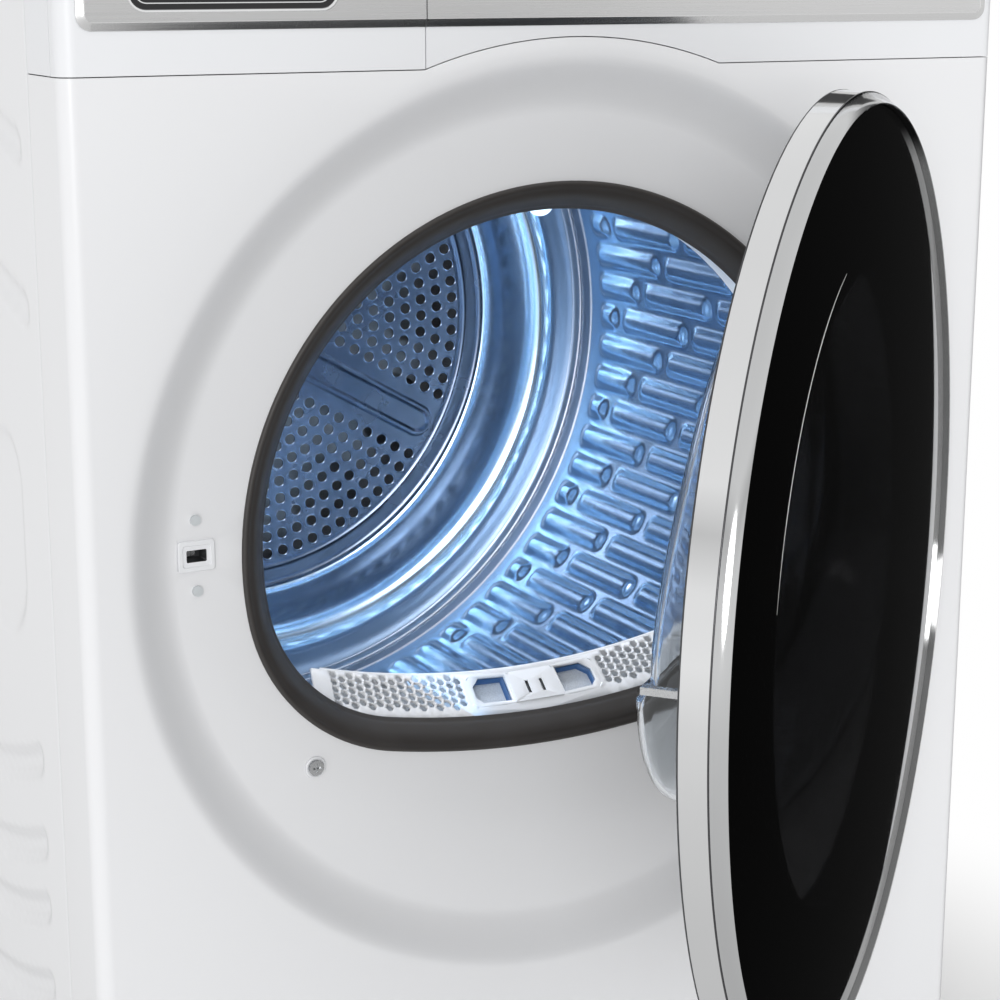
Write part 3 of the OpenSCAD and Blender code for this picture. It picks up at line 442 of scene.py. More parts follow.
def port_outline(inset):
    """The opening's outline, inset from the gasket's outer edge, about the port's centre."""
    return (arc(0, 0, PORT_R - inset, SIDE_A, 180 - SIDE_A, 120)[:-1]
            + arc(-CORNER_X, CORNER_Z, PORT_CORNER_R - inset, 180 - SIDE_A, BASE_A, 24)[:-1]
            + arc(0, BASE_Z, PORT_BASE_R - inset, BASE_A, 540 - BASE_A, 24)[:-1]
            + arc(CORNER_X, CORNER_Z, PORT_CORNER_R - inset, 540 - BASE_A, 360 + SIDE_A, 24)[:-1])


def port_ring(inset):
    """The opening's inset outline at its place on the cabinet."""
    return raised(port_outline(inset), PORT_Z)


# ---- sheets round the front
BEND = CORNER * math.pi / 2
FLAT = HALF_W - CORNER
REACH = FLAT + BEND + WRAP - CORNER


def wrapped(s, z):
    """Folds a point of the flat blank round the two vertical front corners."""
    side = 1 if s > 0 else -1
    over = abs(s) - FLAT
    if over <= 0:
        return (s, 0.0, z)
    if over < BEND:
        a = over / CORNER
        return (side * (FLAT + CORNER * math.sin(a)), CORNER * (1 - math.cos(a)), z)
    return (side * HALF_W, CORNER + over - BEND, z)


def corner_lines(z0, z1):
    """Fold lines that let a blank follow the corners."""
    folds = [side * (FLAT + BEND * k / 8) for side in (-1, 1) for k in range(9)]
    return [[(s, z0), (s, z1)] for s in folds]


def arch(x_end):
    """Points of the arched seam over the dish, from right to left."""
    a = math.degrees(math.acos(x_end / ARCH_R))
    return raised(arc(0, 0, ARCH_R, a, 180 - a, 24), PORT_Z)


# The dish round the opening as (radius, depth), from the panel's face to the dish's floor.
DISH = [(276, 0), (273, 0.05), (271, 0.35), (269, 1.0), (266.5, 2.3), (263, 4.7), (259, 7.7),
        (255, 10.4), (251, 12.7), (247.5, 14.5), (244.5, 15.5), (242, 15.9), (240, DISH_FLOOR)]
DISH_STEPS = 240


def front_panel():
    """One enamelled sheet: face, wrapped sides and the dish with its two openings."""
    shape = Shape()
    top = SEAM_Z - SEAM_GAP / 2
    x_end = math.sqrt(ARCH_R ** 2 - (top - PORT_Z) ** 2)
    outline = [(-REACH, PANEL_FOOT), (REACH, PANEL_FOOT), (REACH, top)] + arch(x_end) + [(-REACH, top)]
    rim = raised(ring_of(0, 0, DISH[0][0], DISH_STEPS), PORT_Z)
    flat, faces = sheet(outline, [rim], corner_lines(PANEL_FOOT, top))
    shape.add([wrapped(*p) for p in flat], faces)
    shape.lathe(DISH, (0, PORT_Z), DISH_STEPS)
    floor_rim = raised(ring_of(0, 0, DISH[-1][0], DISH_STEPS), PORT_Z)
    latch_slot = rounded_rect(*LATCH_X, *LATCH_Z, 1, 2)
    shape.plate(floor_rim, DISH_FLOOR, [port_ring(1), latch_slot])
    shape.piece("front_panel_skin", "cabinet", [ENAMEL], ["front_panel"], "white_enamel", crease=50,
                thick=SHEET, weld=0.05, even=True)


front_panel()


def door_gasket():
    """The rubber seal, a closed profile of (inset, depth) led round the opening."""
    profile = [(-1.5, 16.0), (-1.6, 14.9), (-1.2, 14.1), (-0.4, 13.7), (0.8, 13.7), (2.0, 14.2),
               (3.0, 15.2), (4.2, 15.5), (6.0, 16.2), (9.0, 19.2), (12.0, 22.6), (13.2, 24.3),
               (13.9, 25.8), (15.2, 26.6), (15.6, 27.4), (15.0, 28.0), (2.0, 28.0), (1.0, 16.2)]
    shape = Shape()
    shape.grid([[(x, y, z) for x, z in port_ring(inset)] for inset, y in profile], round_u=True,
               round_v=True)
    shape.piece("door_gasket_skin", "cabinet", [RUBBER], ["door_gasket"], "gasket_rubber", crease=60)


door_gasket()


# ---- the drum
PAD_PITCH = 5.0  # degrees between two columns of pads
PAD_W, PAD_CORNER = 9.6, 7.5  # a pad's half width and its corner's radius
PAD_PERIOD, PAD_GAP = 102.5, 8.0  # a pad's length with the gap to the next, and the gap
PAD_START, PAD_STEP = 321.5, 34.17  # depth of a gap, and its step from column to column
PAD_RISE, PAD_SLOPE = 4.2, 8.2  # a pad's height, and the width of its slope
PAD_FRONT, PAD_END = 140.0, 455.0  # depths between which the pads lie
PAD_SHORTEST = 8  # half length under which a cut pad is left out


def pad_relief(angle, y):
    """How far the drum wall stands in at an angle (degrees) and depth: embossed pads."""
    column = np.round(angle / PAD_PITCH)
    across = np.abs((angle - column * PAD_PITCH) * math.pi / 180 * DRUM_IN)
    shift = PAD_START - PAD_STEP * np.mod(column, 3)
    index = np.floor((y - shift) / PAD_PERIOD)
    start = np.maximum(shift + index * PAD_PERIOD + PAD_GAP / 2, PAD_FRONT)
    end = np.minimum(shift + (index + 1) * PAD_PERIOD - PAD_GAP / 2, PAD_END)
    middle, half = (start + end) / 2, (end - start) / 2
    gap = rounded_gap(across - (PAD_W - PAD_CORNER), np.abs(y - middle) - (half - PAD_CORNER), PAD_CORNER)
    rise = PAD_RISE * np.sin(np.clip(-gap / PAD_SLOPE, 0, 1) * math.pi / 2)
    return np.where(half > PAD_SHORTEST, rise, 0.0)


def turned(radius, y, angle):
    """A point at a radius and an angle in degrees about the drum's axis."""
    a = math.radians(angle)
    return (radius * math.cos(a), y, DRUM_Z + radius * math.sin(a))


def drum_shell():
    """The drum's wall with its pads, front lip and the strip of its rear seam."""
    angles = np.arange(0, 360, PAD_PITCH / 12)
    front = box_of("drum_shell")[0][1] - FRONT
    seam = 470.8
    lip = [(231, 0), (229.3, 0), (229, 1), (229, 8), (230.5, 11.5), (236, 15.5), (258, 24), (278, 32),
           (284, 35.5), (285.6, 39)]
    profile = [(r, front + y) for r, y in lip]
    profile += [(DRUM_IN, y) for y in np.arange(front + 44, 470.5, 2.6)]
    profile += [(DRUM_IN, seam), (285.0, 471.4), (285.0, 481.6), (285.4, 482.2), (286.6, 482.6),
                (286.9, 487.0), (DRUM_OUT, 487.2)]
    plain = [(DRUM_OUT, y) for y in (480, 400, 300, 200, front + 37)] + [(232, front + 9)]
    rows = []
    for radius, y in profile:
        relief = pad_relief(angles, np.full_like(angles, y)) if radius == DRUM_IN else 0 * angles
        rows.append([turned(radius - h, y, a) for h, a in zip(relief, angles)])
    strip = sum(1 for _, y in profile if y <= seam)
    shape = Shape()
    shape.grid(rows[:strip], 0, round_u=True)
    shape.grid(rows[strip - 1:], 1, round_u=True)
    back = [rows[-1]] + [[turned(r, y, a) for a in angles] for r, y in plain] + [rows[0]]
    shape.grid(back, 0, round_u=True)
    shape.piece("drum_shell_skin", "drum", [DRUM_STEEL_PAINTED_BLUE_LIGHT, SEAM_STEEL], ["drum_shell"], "drum_steel",
                crease=40)


drum_shell()

RIBS = (-30, 90, 210)  # angles of the disc's three long ribs
RIB_INNER, RIB_OUTER = 66, 180.2  # radii of a rib's two ends
RIB_EDGES = (13.6, 12.6, 11.4, 9.6, 8.4, 7.2)  # distances from a rib's middle that keep an edge
RIB_CLEAR = 27.6  # from a rib's middle to the nearest hole
HOLE_R, HOLE_STEPS = 4.3, 18
HOLE_LIP = 0.35  # how far a hole's own edge stands out
HOLE_EDGES = (4.9, 5.7)  # radii round a hole that keep an edge
HOLE_RINGS, HOLE_RING_R, HOLE_RING_STEP = 9, 189, 14.2
PLATE_R = 194.5  # the disc's flat part


def air_holes():
    """Middle points of the air holes about the drum axis: rings cut short beside each rib."""
    spots = []
    for ring in range(HOLE_RINGS):
        radius = HOLE_RING_R - HOLE_RING_STEP * ring
        side = math.degrees(math.asin(RIB_CLEAR / radius))
        count = 26 - 2 * ring
        for rib in RIBS:
            for i in range(count):
                a = math.radians(rib + side + (120 - 2 * side) * i / (count - 1))
                spots.append((radius * math.cos(a), radius * math.sin(a)))
    return spots


def rib_distance(x, z):
    """Distance from the middle line of the nearest long rib."""
    best = np.full(np.shape(x), 1e9)
    for rib in RIBS:
        dx, dz = math.cos(math.radians(rib)), math.sin(math.radians(rib))
        along = np.clip(x * dx + z * dz, RIB_INNER, RIB_OUTER)
        best = np.minimum(best, np.hypot(x - along * dx, z - along * dz))
    return best


def rib_loop(rib, offset):
    """A line round one long rib, offset from its middle line."""
    a = math.radians(rib)
    dx, dz = math.cos(a), math.sin(a)
    return [p for radius, start in ((RIB_OUTER, rib - 90), (RIB_INNER, rib + 90))
            for p in arc(radius * dx, radius * dz, offset, start, start + 180, 14)]


def drum_rear():
    """The drum's rear wall: a disc with air holes and ribs, a bead, and a deep ring round it."""
    holes = air_holes()
    outline = ring_of(0, 0, PLATE_R, 360)
    rims = [ring_of(x, z, r, HOLE_STEPS) for r in HOLE_EDGES for x, z in holes]
    rims += [rib_loop(rib, d) for rib in RIBS for d in RIB_EDGES]
    cuts = [ring_of(x, z, HOLE_R, HOLE_STEPS) for x, z in holes]
    closed = [loop + loop[:1] for loop in rims]
    flat, faces = sheet(outline, cuts, closed)
    spots = np.array(flat)
    reach = np.full(len(spots), 1e9)
    for x, z in holes:
        reach = np.minimum(reach, np.hypot(spots[:, 0] - x, spots[:, 1] - z))
    rise = np.where(reach <= HOLE_R + 0.2, HOLE_LIP, 0.75 * smooth_step((5.9 - reach) / 0.9))
    gap = rib_distance(spots[:, 0], spots[:, 1])
    # A rib rises at its edge and sinks along its middle.
    rise += 2.6 * smooth_step((13.8 - gap) / 2.2) - 2.9 * smooth_step((9.8 - gap) / 2.4)
    shape = Shape()
    shape.add([(x, DISC_Y - h, z + DRUM_Z) for (x, z), h in zip(flat, rise)], faces)
    for loop in cuts:
        shape.bands([(raised(loop, DRUM_Z), y) for y in (DISC_Y - HOLE_LIP, DISC_Y + 1.4)])
    bead = [(PLATE_R, 0), (196, 0.2), (197.4, 2.0), (199, 2.8), (200.6, 2.0), (202, 0.4), (204, 0),
            (209, 0), (211, 0.3), (212.4, 1.9), (214, 2.6), (215.6, 2.0), (217.0, 1.0)]
    bead = [(r, DISC_Y - h) for r, h in bead]
    bowl = [(219.0, 532.2), (221.5, 529), (223.6, 524), (225.4, 517), (227.2, 508), (229.6, 498),
            (232.5, 489.5), (236, 483.6), (240.5, 479.6), (245.5, 478.0), (250.5, 478.4), (256, 481.2),
            (262, 486.6), (268, 492.4), (274, 496.6), (279, 498.8), (282.6, 499.8), (284.4, 499.6)]
    shape.lathe(bead, (0, DRUM_Z), 360)
    shape.lathe([bead[-1]] + bowl, (0, DRUM_Z), 360, 1)
    strip = [bowl[-1], (285.0, 499.0), (285.0, 490.6), (285.4, 489.8), (286.4, 489.2), (286.6, 487.6),
             (DRUM_OUT, 487.4)]
    shape.lathe(strip, (0, DRUM_Z), 360, 2)
    hidden = [strip[-1], (DRUM_OUT, 500), (284, 503), (262, 489), (250, 481.5), (245, 480.5), (236, 486),
              (229, 510), (222, DISC_Y), (216, DISC_Y + 2), (200, DISC_Y + 1.6)]
    shape.lathe(hidden, (0, DRUM_Z), 180, 1)
    shape.piece("drum_rear_skin", "drum", [DISC_STEEL_PAINTED_SHADE, DRUM_STEEL_PAINTED_BLUE_LIGHT, SEAM_STEEL], ["drum_rear_wall"],
                "drum_steel", crease=32, even=True)


drum_rear()

# ---- the door
# The door is drawn shut, and DOOR turns it about its hinge to where it stands at rest.
DOOR = (Matrix.Translation(at(*HINGE)) @ Matrix.Rotation(DOOR_OPEN, 4, "Z")
        @ Matrix.Translation(-at(*HINGE)))
DOOR_BACK, DOOR_FRONT = -2.5, -23.5
DOOR_STEPS = 256
GLASS_R, GLASS_DOME, GLASS_IN = 252.7, 14.0, 4.0
GLASS_THICK, GLASS_EDGE = 4, 3.5
ARC_R, ARC_FROM, ARC_TO = 188.5, 111, 169  # the painted highlight arc's radius and its two ends in degrees


def on_glass(r):
    """Depth of the glass's domed face at a radius."""
    return DOOR_FRONT + GLASS_IN - GLASS_DOME * (1 - (r / GLASS_R) ** 2)


def door_glass():
    """The domed pane."""
    shape = Shape()
    radii = [GLASS_R * math.sin(t * math.pi / 2 / 40) for t in range(41)]
    front = [(r, on_glass(r)) for r in radii]
    back = [(GLASS_R, DOOR_FRONT + GLASS_IN + GLASS_EDGE)]
    back += [(r, y + GLASS_THICK) for r, y in reversed(front[:-1])]
    profile = [(AXIS, front[0][1])] + front[1:] + back[:-1] + [(AXIS, back[-1][1])]
    shape.lathe(profile, (0, PORT_Z), DOOR_STEPS)
    shape.piece("door_glass_skin", "door", [BLACK_GLASS], ["door_glass"], "black_glass", turn=DOOR,
                crease=30)


door_glass()


def bowl_depth(z):
    """Depth of the clear bowl behind the door's back plane, at a height about the port centre."""
    z = np.asarray(z, float)
    upper = 34 + 8 * smooth_step((110 - z) / 128)
    return upper + (49.4 - upper) * smooth_step((-15.5 - z) / 3.4)


def door_bowl():
    """The clear bowl behind the glass: a drafted wall, a rounded edge and a floor with a ledge."""
    base, draft, edge_r = 32.0, 2.5, 9.0
    ledge = (-15.6, -16.6, -17.6, -18.8)
    walls = []
    for t in (0, 0.25, 0.5, 0.75, 1.0):
        ring = port_outline(base + draft * t)
        walls.append([(x, DOOR_BACK + t * (bowl_depth(z) - edge_r), z + PORT_Z) for x, z in ring])
    for k in range(2, 7):
        a = k * math.pi / 12
        ring = port_outline(base + draft + edge_r * (1 - math.cos(a)))
        walls.append([(x, DOOR_BACK + bowl_depth(z) - edge_r + edge_r * math.sin(a), z + PORT_Z)
                      for x, z in ring])
    shape = Shape()
    shape.grid([[(x, float(y), z) for x, y, z in row] for row in walls], round_u=True)
    cap = port_outline(base + draft + edge_r)
    spread = [(x, z) for x in range(-150, 151, 10) for z in range(-90, 151, 8)]
    spread = [p for p, k in zip(spread, inside(spread, port_outline(base + 14))) if k]
    rows = [[(-160, z), (160, z)] for z in ledge]
    flat, faces = sheet(cap, (), rows, spread)
    shape.add([(x, DOOR_BACK + float(bowl_depth(z)), z + PORT_Z) for x, z in flat], faces)
    shape.bands([(port_ring(base - out), DOOR_BACK - y) for out, y in ((0, 0), (1, 1.2), (2, 1.6))])
    shape.piece("door_bowl_skin", "door", [CLEAR], ["door_bowl"], "clear_bowl", turn=DOOR, crease=50,
                thick=2.6, weld=0.02)


door_bowl()


# ---- lint filter
HEAD_LOW, HEAD_HIGH = (537.8, 34.0), (517.0, 58.0)  # the sloping face's edges, as (radius, depth)
HEAD_H = math.hypot(HEAD_LOW[0] - HEAD_HIGH[0], HEAD_HIGH[1] - HEAD_LOW[1])
HEAD_R = 527.0  # the radius on which lengths along the face are measured
HEAD_LIMIT = port_outline(11.6)
CELL_R, CELL_COLUMN, CELL_ROW = 2.55, 5.6, 5.2  # the honeycomb's radius and pitches
GRIP_S = 47  # the honeycomb starts beyond the finger grips
GRIP = [(18, 9), (38, 9), (42, 13), (42, 21), (36, 27), (18, 27)]
BODY_X, BODY_Y = (-112, 112), (38, 58.5)
BODY_LOW, BODY_HIGH = PORT_Z - 296, PORT_Z - 121
BODY_WALL, BODY_BAR = 4, 5


def on_head(s, v, out=0.0):
    """A point of the filter's sloping face: s along it, v up it, out away from it."""
    across, rise = HEAD_LOW[0] - HEAD_HIGH[0], HEAD_HIGH[1] - HEAD_LOW[1]
    t = v / HEAD_H
    radius = HEAD_LOW[0] - t * across - out * rise / HEAD_H
    y = HEAD_LOW[1] + t * rise - out * across / HEAD_H
    a = s / HEAD_R
    return (radius * math.sin(a), y, PORT_Z + BASE_Z - radius * math.cos(a))


def head_reach(v):
    """How far the sloping face reaches sideways at a height v, inside the opening's outline."""
    steps = np.arange(0, 149, 0.5)
    spots = [on_head(s, v) for s in steps]
    within = inside([(x, z - PORT_Z) for x, _, z in spots], HEAD_LIMIT)
    return float(steps[np.flatnonzero(within)[-1]])


HEAD_SIDE = [(head_reach(v), float(v)) for v in np.linspace(0, HEAD_H, 9)]


def honeycomb():
    """Hexagons that fill the face on both sides of the grips."""
    reach, heights = zip(*HEAD_SIDE)
    cells = []
    for column in range(-24, 25):
        for row in range(5):
            s, v = column * CELL_COLUMN, 8.2 + (row + column % 2 / 2) * CELL_ROW
            if GRIP_S < abs(s) < np.interp(v, heights, reach) - 6 and v < HEAD_H - 2.4:
                cells.append(ring_of(s, v, CELL_R, 6))
    return cells


def lint_filter_face():
    """The sloping face with its grips, slots and honeycomb."""
    end_low, end_high = HEAD_SIDE[0][0], HEAD_SIDE[-1][0]
    outline = [(s, 0.0) for s in np.linspace(-end_low, end_low, 71)[:-1]] + HEAD_SIDE
    outline += [(s, HEAD_H) for s in np.linspace(end_high, -end_high, 71)[1:-1]]
    outline += [(-s, v) for s, v in reversed(HEAD_SIDE[1:])]
    grips = [GRIP, [(-s, v) for s, v in reversed(GRIP)]]
    slots = [[(s - 1.3, 12), (s + 1.3, 12), (s + 1.3, 21), (s - 1.3, 21)] for s in (-5, 5)]
    plates = [rounded_rect(d - 46, 46 - d, 5.6 + d, HEAD_H - 1.6 - d, 3, 4) for d in (0, 1.3)]
    bridges = [rounded_rect(d - 17, 17 - d, 5.8 + 0.8 * d, HEAD_H - 2.2 - d, 1.4, 4) for d in (0, 1)]
    lines = [loop + loop[:1] for loop in plates + bridges]
    flat, faces = sheet(outline, grips + slots + honeycomb(), lines)
    spots = np.array(flat)
    rise = 1.0 * inside(spots, plates[1]) + 1.0 * inside(spots, bridges[1])
    shape = Shape()
    shape.add([on_head(s, v, float(h)) for (s, v), h in zip(flat, rise)], faces)
    shape.piece("lint_filter_face", "filter", [WHITE_PLASTIC], ["lint_filter"], "white_plastic",
                crease=40, thick=2.0, even=True)


def lint_filter_back():
    """The lip that runs back and down from the face's upper edge."""
    end = HEAD_SIDE[-1][0] - 7
    edge = [on_head(s, HEAD_H) for s in np.linspace(-end, end, 61)]
    shape = Shape()
    shape.grid([[(x, y + dy, z + dz) for x, y, z in edge]
                for dy, dz in ((0, 0), (2.6, 0.4), (3.6, -0.8), (3.6, -14))])
    shape.piece("lint_filter_back", "filter", [WHITE_PLASTIC], slot="white_plastic", thick=1.8)


def lint_filter_grip_painted_shade():
    """Two cups behind the finger holes, coloured dark blue as painted shade in the drum's blue light."""
    near, far = -1.0, -8.0
    shape = Shape()
    for sign in (-1, 1):
        rows = [[on_head(sign * s, v, out) for s, v in GRIP] for out in (near, far)]
        shape.grid(rows, round_u=True)
        shape.add(rows[1], [tuple(range(len(GRIP)))])
    shape.piece("lint_filter_grip_painted_shade", "filter", [PAINTED_BLUE_SHADE], slot="white_plastic", thick=0.8)


def lint_filter_gauze():
    """The gauze behind the honeycomb and on both sides of the body."""
    shape = Shape()
    shape.grid([[on_head(s, v, -6.5) for s in np.linspace(-1, 1, 60) * (head_reach(v) - 3)]
                for v in np.linspace(2, HEAD_H - 2, 6)])
    for y in (41.5, 54.5):
        shape.box((-107, 107), (y, y + 0.5), (BODY_LOW + BODY_BAR, BODY_HIGH - 7))
    shape.piece("lint_filter_gauze", "filter", [GAUZE], slot="white_plastic", thick=0.4)


def lint_filter_body():
    """The frame of the part that hangs in the duct: four uprights, three pairs of bars, a foot."""
    shape = Shape()
    for x in (BODY_X[0], -37.5, 37.5 - BODY_WALL, BODY_X[1] - BODY_WALL):
        shape.box((x, x + BODY_WALL), BODY_Y, (BODY_LOW, BODY_HIGH))
    for z in (BODY_LOW, PORT_Z - 209, BODY_HIGH - BODY_BAR):
        for y in (BODY_Y[0], BODY_Y[1] - 3):
            shape.box(BODY_X, (y, y + 3), (z, z + BODY_BAR))
    shape.box(BODY_X, BODY_Y, (BODY_LOW, BODY_LOW + 3))
    shape.piece("lint_filter_body", "filter", [WHITE_PLASTIC], slot="white_plastic", bevel=0.6,
                crease=30)


lint_filter_face()
lint_filter_back()
lint_filter_grip_painted_shade()
lint_filter_gauze()
lint_filter_body()


# ---- side panels
SIDE_Y = 285  # depth of the stamped pattern's middle
STAMP_DEPTH = 3.0
# Each stamped rib's height at its ends, its bow, and how far it reaches either way.
STAMPED = [(level, -40, 185) for level in (308, 256, 216, 166)]
STAMPED += [(level, 24, 200) for level in (662, 574)]


def side_relief(y, z):
    """Stamped ribs and a recessed field: how far the panel stands in."""
    half, edge, edge_field = 5.0, 5.0, 7
    sag = ((y - SIDE_Y) / 190) ** 2
    depth = np.zeros_like(y)
    for level, bow, reach in STAMPED:
        beyond = np.maximum(np.abs(y - SIDE_Y) - reach, 0)
        gap = np.hypot(z - (level + bow * (1 - sag)), beyond)
        depth = np.maximum(depth, STAMP_DEPTH * smooth_step((half + edge - gap) / edge))
    gap = rounded_gap(np.abs(y - SIDE_Y) - 142, np.abs(z - 440 + 14 * (1 - sag)) - 26, 36)
    return np.maximum(depth, STAMP_DEPTH * smooth_step(-gap / edge_field))


def side_panels():
    """Both side panels, each with its stamped relief and the flange at its rear edge."""
    low, high = box_of("left_side_panel")
    front, back = low[1] - FRONT, high[1] - FRONT
    flange_in, flange_w = 3, 15
    y = np.linspace(front, back, 132)
    z = np.linspace(low[2], high[2], 206)
    grid_y, grid_z = np.meshgrid(y, z)
    relief = side_relief(grid_y, grid_z)
    flange_z = [float(c) for c in z[::10] if 120 < c < TOP - 10]
    for name, sign in (("left_side_panel", -1), ("right_side_panel", 1)):
        shape = Shape()
        shape.grid([[(sign * (HALF_W - h), float(b), float(c)) for b, c, h in zip(*row)]
                    for row in zip(grid_y, grid_z, relief)])
        shape.grid([[(sign * (HALF_W - a), back - flange_in, c) for a in (SHEET, flange_w)]
                    for c in flange_z])
        shape.piece(name + "_skin", "cabinet", [ENAMEL], [name], "white_enamel", crease=50,
                    thick=SHEET, even=True)


side_panels()


# ---- control panel details
TRIM_Z0, TRIM_Z1 = (corner[2] for corner in box_of("control_trim"))
LIP = 4.6  # width of a trim plate's bright lip


def middle_of(node):
    """A control's middle on the front, as (x, z)."""
    low, high = box_of(node)
    return (low[0] + high[0]) / 2, (low[2] + high[2]) / 2


KNOB_X, KNOB_Z = middle_of("program_knob")
BUTTON_X, BUTTON_Z = middle_of("start_button")
SCREEN = (130, 260, KNOB_Z - 29, KNOB_Z + 29)  # the hole for the display, as x and z ranges
HANDLE = [corner[axis] for axis in (0, 2) for corner in box_of("drawer_handle")]


def shrunk(area, d, r, n):
    """A rounded rectangle moved in by d on all sides of an area (x0, x1, z0, z1)."""
    x0, x1, z0, z1 = area
    return rounded_rect(x0 + d, x1 - d, z0 + d, z1 - d, r, n)


def trim_ring(x0, x1, inset, left_round, right_round):
    """A trim plate's outline, moved in along its lower edge and the end that is rounded."""
    z0, r = TRIM_Z0 + inset, 8.0 - inset
    lower_left = arc(x0 + inset + r, z0 + r, r, 180, 270, 8) if left_round else [(x0, z0)]
    lower_right = arc(x1 - inset - r, z0 + r, r, 270, 360, 8) if right_round else [(x1, z0)]
    return lower_left + lower_right + [(x1 - (inset if right_round else 0), TRIM_Z1),
                                       (x0 + (inset if left_round else 0), TRIM_Z1)]


def trim_skin(name, body, holes):
    """A brushed trim plate with a bright lip and one rounded lower corner."""
    (x0, y0, _), (x1, _, _) = box_of(name)
    left, right = x0 < -200, x1 > 200
    face = y0 - FRONT
    shape = Shape()
    rings = [(trim_ring(x0, x1, inset, left, right), face + y)
             for inset, y in ((0, 1.9), (0.2, 1.2), (LIP - 0.6, 0.15), (LIP, 0))]
    shape.bands(rings, 1)
    shape.plate(*rings[-1], holes)
    for hole in holes:
        shape.bands([(hole, face), (hole, face + 1.8)], 1)
    shape.piece(name + "_skin", body, [TRIM_METAL, TRIM_LIP], [name], "brushed_trim", crease=30,
                even=True)


trim_skin("drawer_trim", "tank_drawer", [rounded_rect(*HANDLE, 10, 8)])
trim_skin("control_trim", "cabinet", [rounded_rect(*SCREEN, 4, 6), ring_of(BUTTON_X, BUTTON_Z, 8.3, 40),
                                      ring_of(KNOB_X, KNOB_Z, 6, 32)])


def display_window():
    """The black window, a flat pane with a softened rim."""
    steps = [(0.0, -1.5), (0.0, -2.1), (0.5, -2.5), (1.6, -2.5)]
    rings = [(shrunk(SCREEN, 0.2 + d, 4 - d * 0.8, 6), y) for d, y in steps]
    shape = Shape()
    shape.bands(rings)
    shape.plate(*rings[-1])
    shape.piece("display_window_skin", "cabinet", [BLACK_GLOSS], ["display_window"], "black_gloss",
                crease=40)


def program_knob():
    """The turned knob with its groove, and its pointer mark."""
    shape = Shape()
    shape.lathe([(5.4, 19), (5.4, -3), (25.6, -3.0), (26.6, -3.6), (27, -4.6), (27, -8), (26.4, -8.3),
                 (26.4, -9.0), (27, -9.3), (27, -21), (26.6, -22.6), (25.6, -23.6), (24.4, -24),
                 (21.6, -24.0), (21.0, -23.4), (8, -22.9), (AXIS, -22.8)], (KNOB_X, KNOB_Z), 160)
    shape.piece("program_knob_skin", "knob", [TRIM_METAL], ["program_knob"], "brushed_trim", crease=25)
    mark = Shape()
    mark.box((KNOB_X - 0.8, KNOB_X + 0.8), (-23.7, -22.9), (KNOB_Z + 13, KNOB_Z + 19.5))
    mark.piece("program_knob_mark", "knob", [DARK_PLASTIC], slot="brushed_trim")


def start_button():
    """The turned button with its stem and the collar that holds it behind the trim."""
    shape = Shape()
    shape.lathe([(2, 21), (2, 5.3), (10, 5.2), (10, 3.4), (8, 3.3), (8, -3.0), (7.6, -3.7), (7.0, -4.0),
                 (5.6, -4.0), (5.0, -3.7), (2, -3.55), (AXIS, -3.5)], (BUTTON_X, BUTTON_Z), 96)
    shape.piece("start_button_skin", "start", [TRIM_METAL], ["start_button"], "brushed_trim", crease=25)


def drawer_handle():
    """The recessed handle: a chrome frame, a black hollow and the bar across it."""
    wall = 5.2
    # Steps inward and back as (inset, depth, look); look 0 is chrome and 1 is black.
    steps = [(0.0, 0.4, 0), (0.0, -2.3, 0), (0.3, -2.6, 0), (1.2, -2.6, 0), (1.5, -2.2, 1),
             (4.2, -2.0, 1), (4.4, -1.6, 0), (4.9, -1.6, 0), (5.1, -1.0, 1), (5.4, 12.0, 1),
             (7.4, 13.5, 1)]
    rings = [(shrunk(HANDLE, d, 10 - d * 0.8, 8), y) for d, y, _ in steps]
    shape = Shape()
    for (_, _, look), outer, inner in zip(steps, rings, rings[1:]):
        shape.bands([outer, inner], look)
    shape.plate(*rings[-1], look=1)
    shape.box((HANDLE[0] + wall, HANDLE[1] - wall), (-1.2, 0.4), (HANDLE[2] + 4.6, HANDLE[2] + 36), 1)
    shape.piece("drawer_handle_skin", "tank_drawer", [CHROME, BLACK_GLOSS], ["drawer_handle"],
                "black_gloss", crease=30)


display_window()
program_knob()
start_button()
drawer_handle()


# ---- small front details
def screw_cup():
    """The raised washer round the screw beside the opening."""
    cup = Shape()
    cup.lathe([(6.6, 16.0), (6.3, 15.3), (5.7, 15.0), (5.1, 15.3), (4.9, 16.2)], SCREW, 64)
    cup.piece("screw_cup", "cabinet", [WHITE_PLASTIC], slot="white_plastic", thick=0.3)


def latch():
    """The latch receptacle: a frame in its slot, a dark hole, and the steel catch inside."""
    face, hole_end = 15.1, 27.0
    steps = [(0.0, 17.0), (0.0, 14.8), (0.5, 14.3), (2.3, 14.3), (2.8, face), (4.0, face)]
    rings = [(shrunk((*LATCH_X, *LATCH_Z), d - 0.2, 1.6, 4), y) for d, y in steps]
    hole = rounded_rect(*CATCH_X, *CATCH_Z, 0.8, 4)
    shape = Shape()
    shape.bands(rings)
    shape.plate(*rings[-1], [hole])
    shape.bands([(hole, face), (hole, hole_end)], 1)
    shape.add([(x, hole_end, z) for x, z in hole], [tuple(range(len(hole)))], 1)
    # The catch: a plate at the hole's end and one along its side wall.
    shape.box((-230.5, -225.0), (hole_end - 0.7, hole_end - 0.1), (436.4, 441.6), 2)
    shape.box((-233.7, -233.5), (16.2, 26.6), (436.2, 441.8), 2)
    shape.piece("latch_receptacle_skin", "cabinet", [WHITE_PLASTIC, DARK_PLASTIC, STEEL],
                ["latch_receptacle"], "white_plastic", crease=35)


screw_cup()
latch()

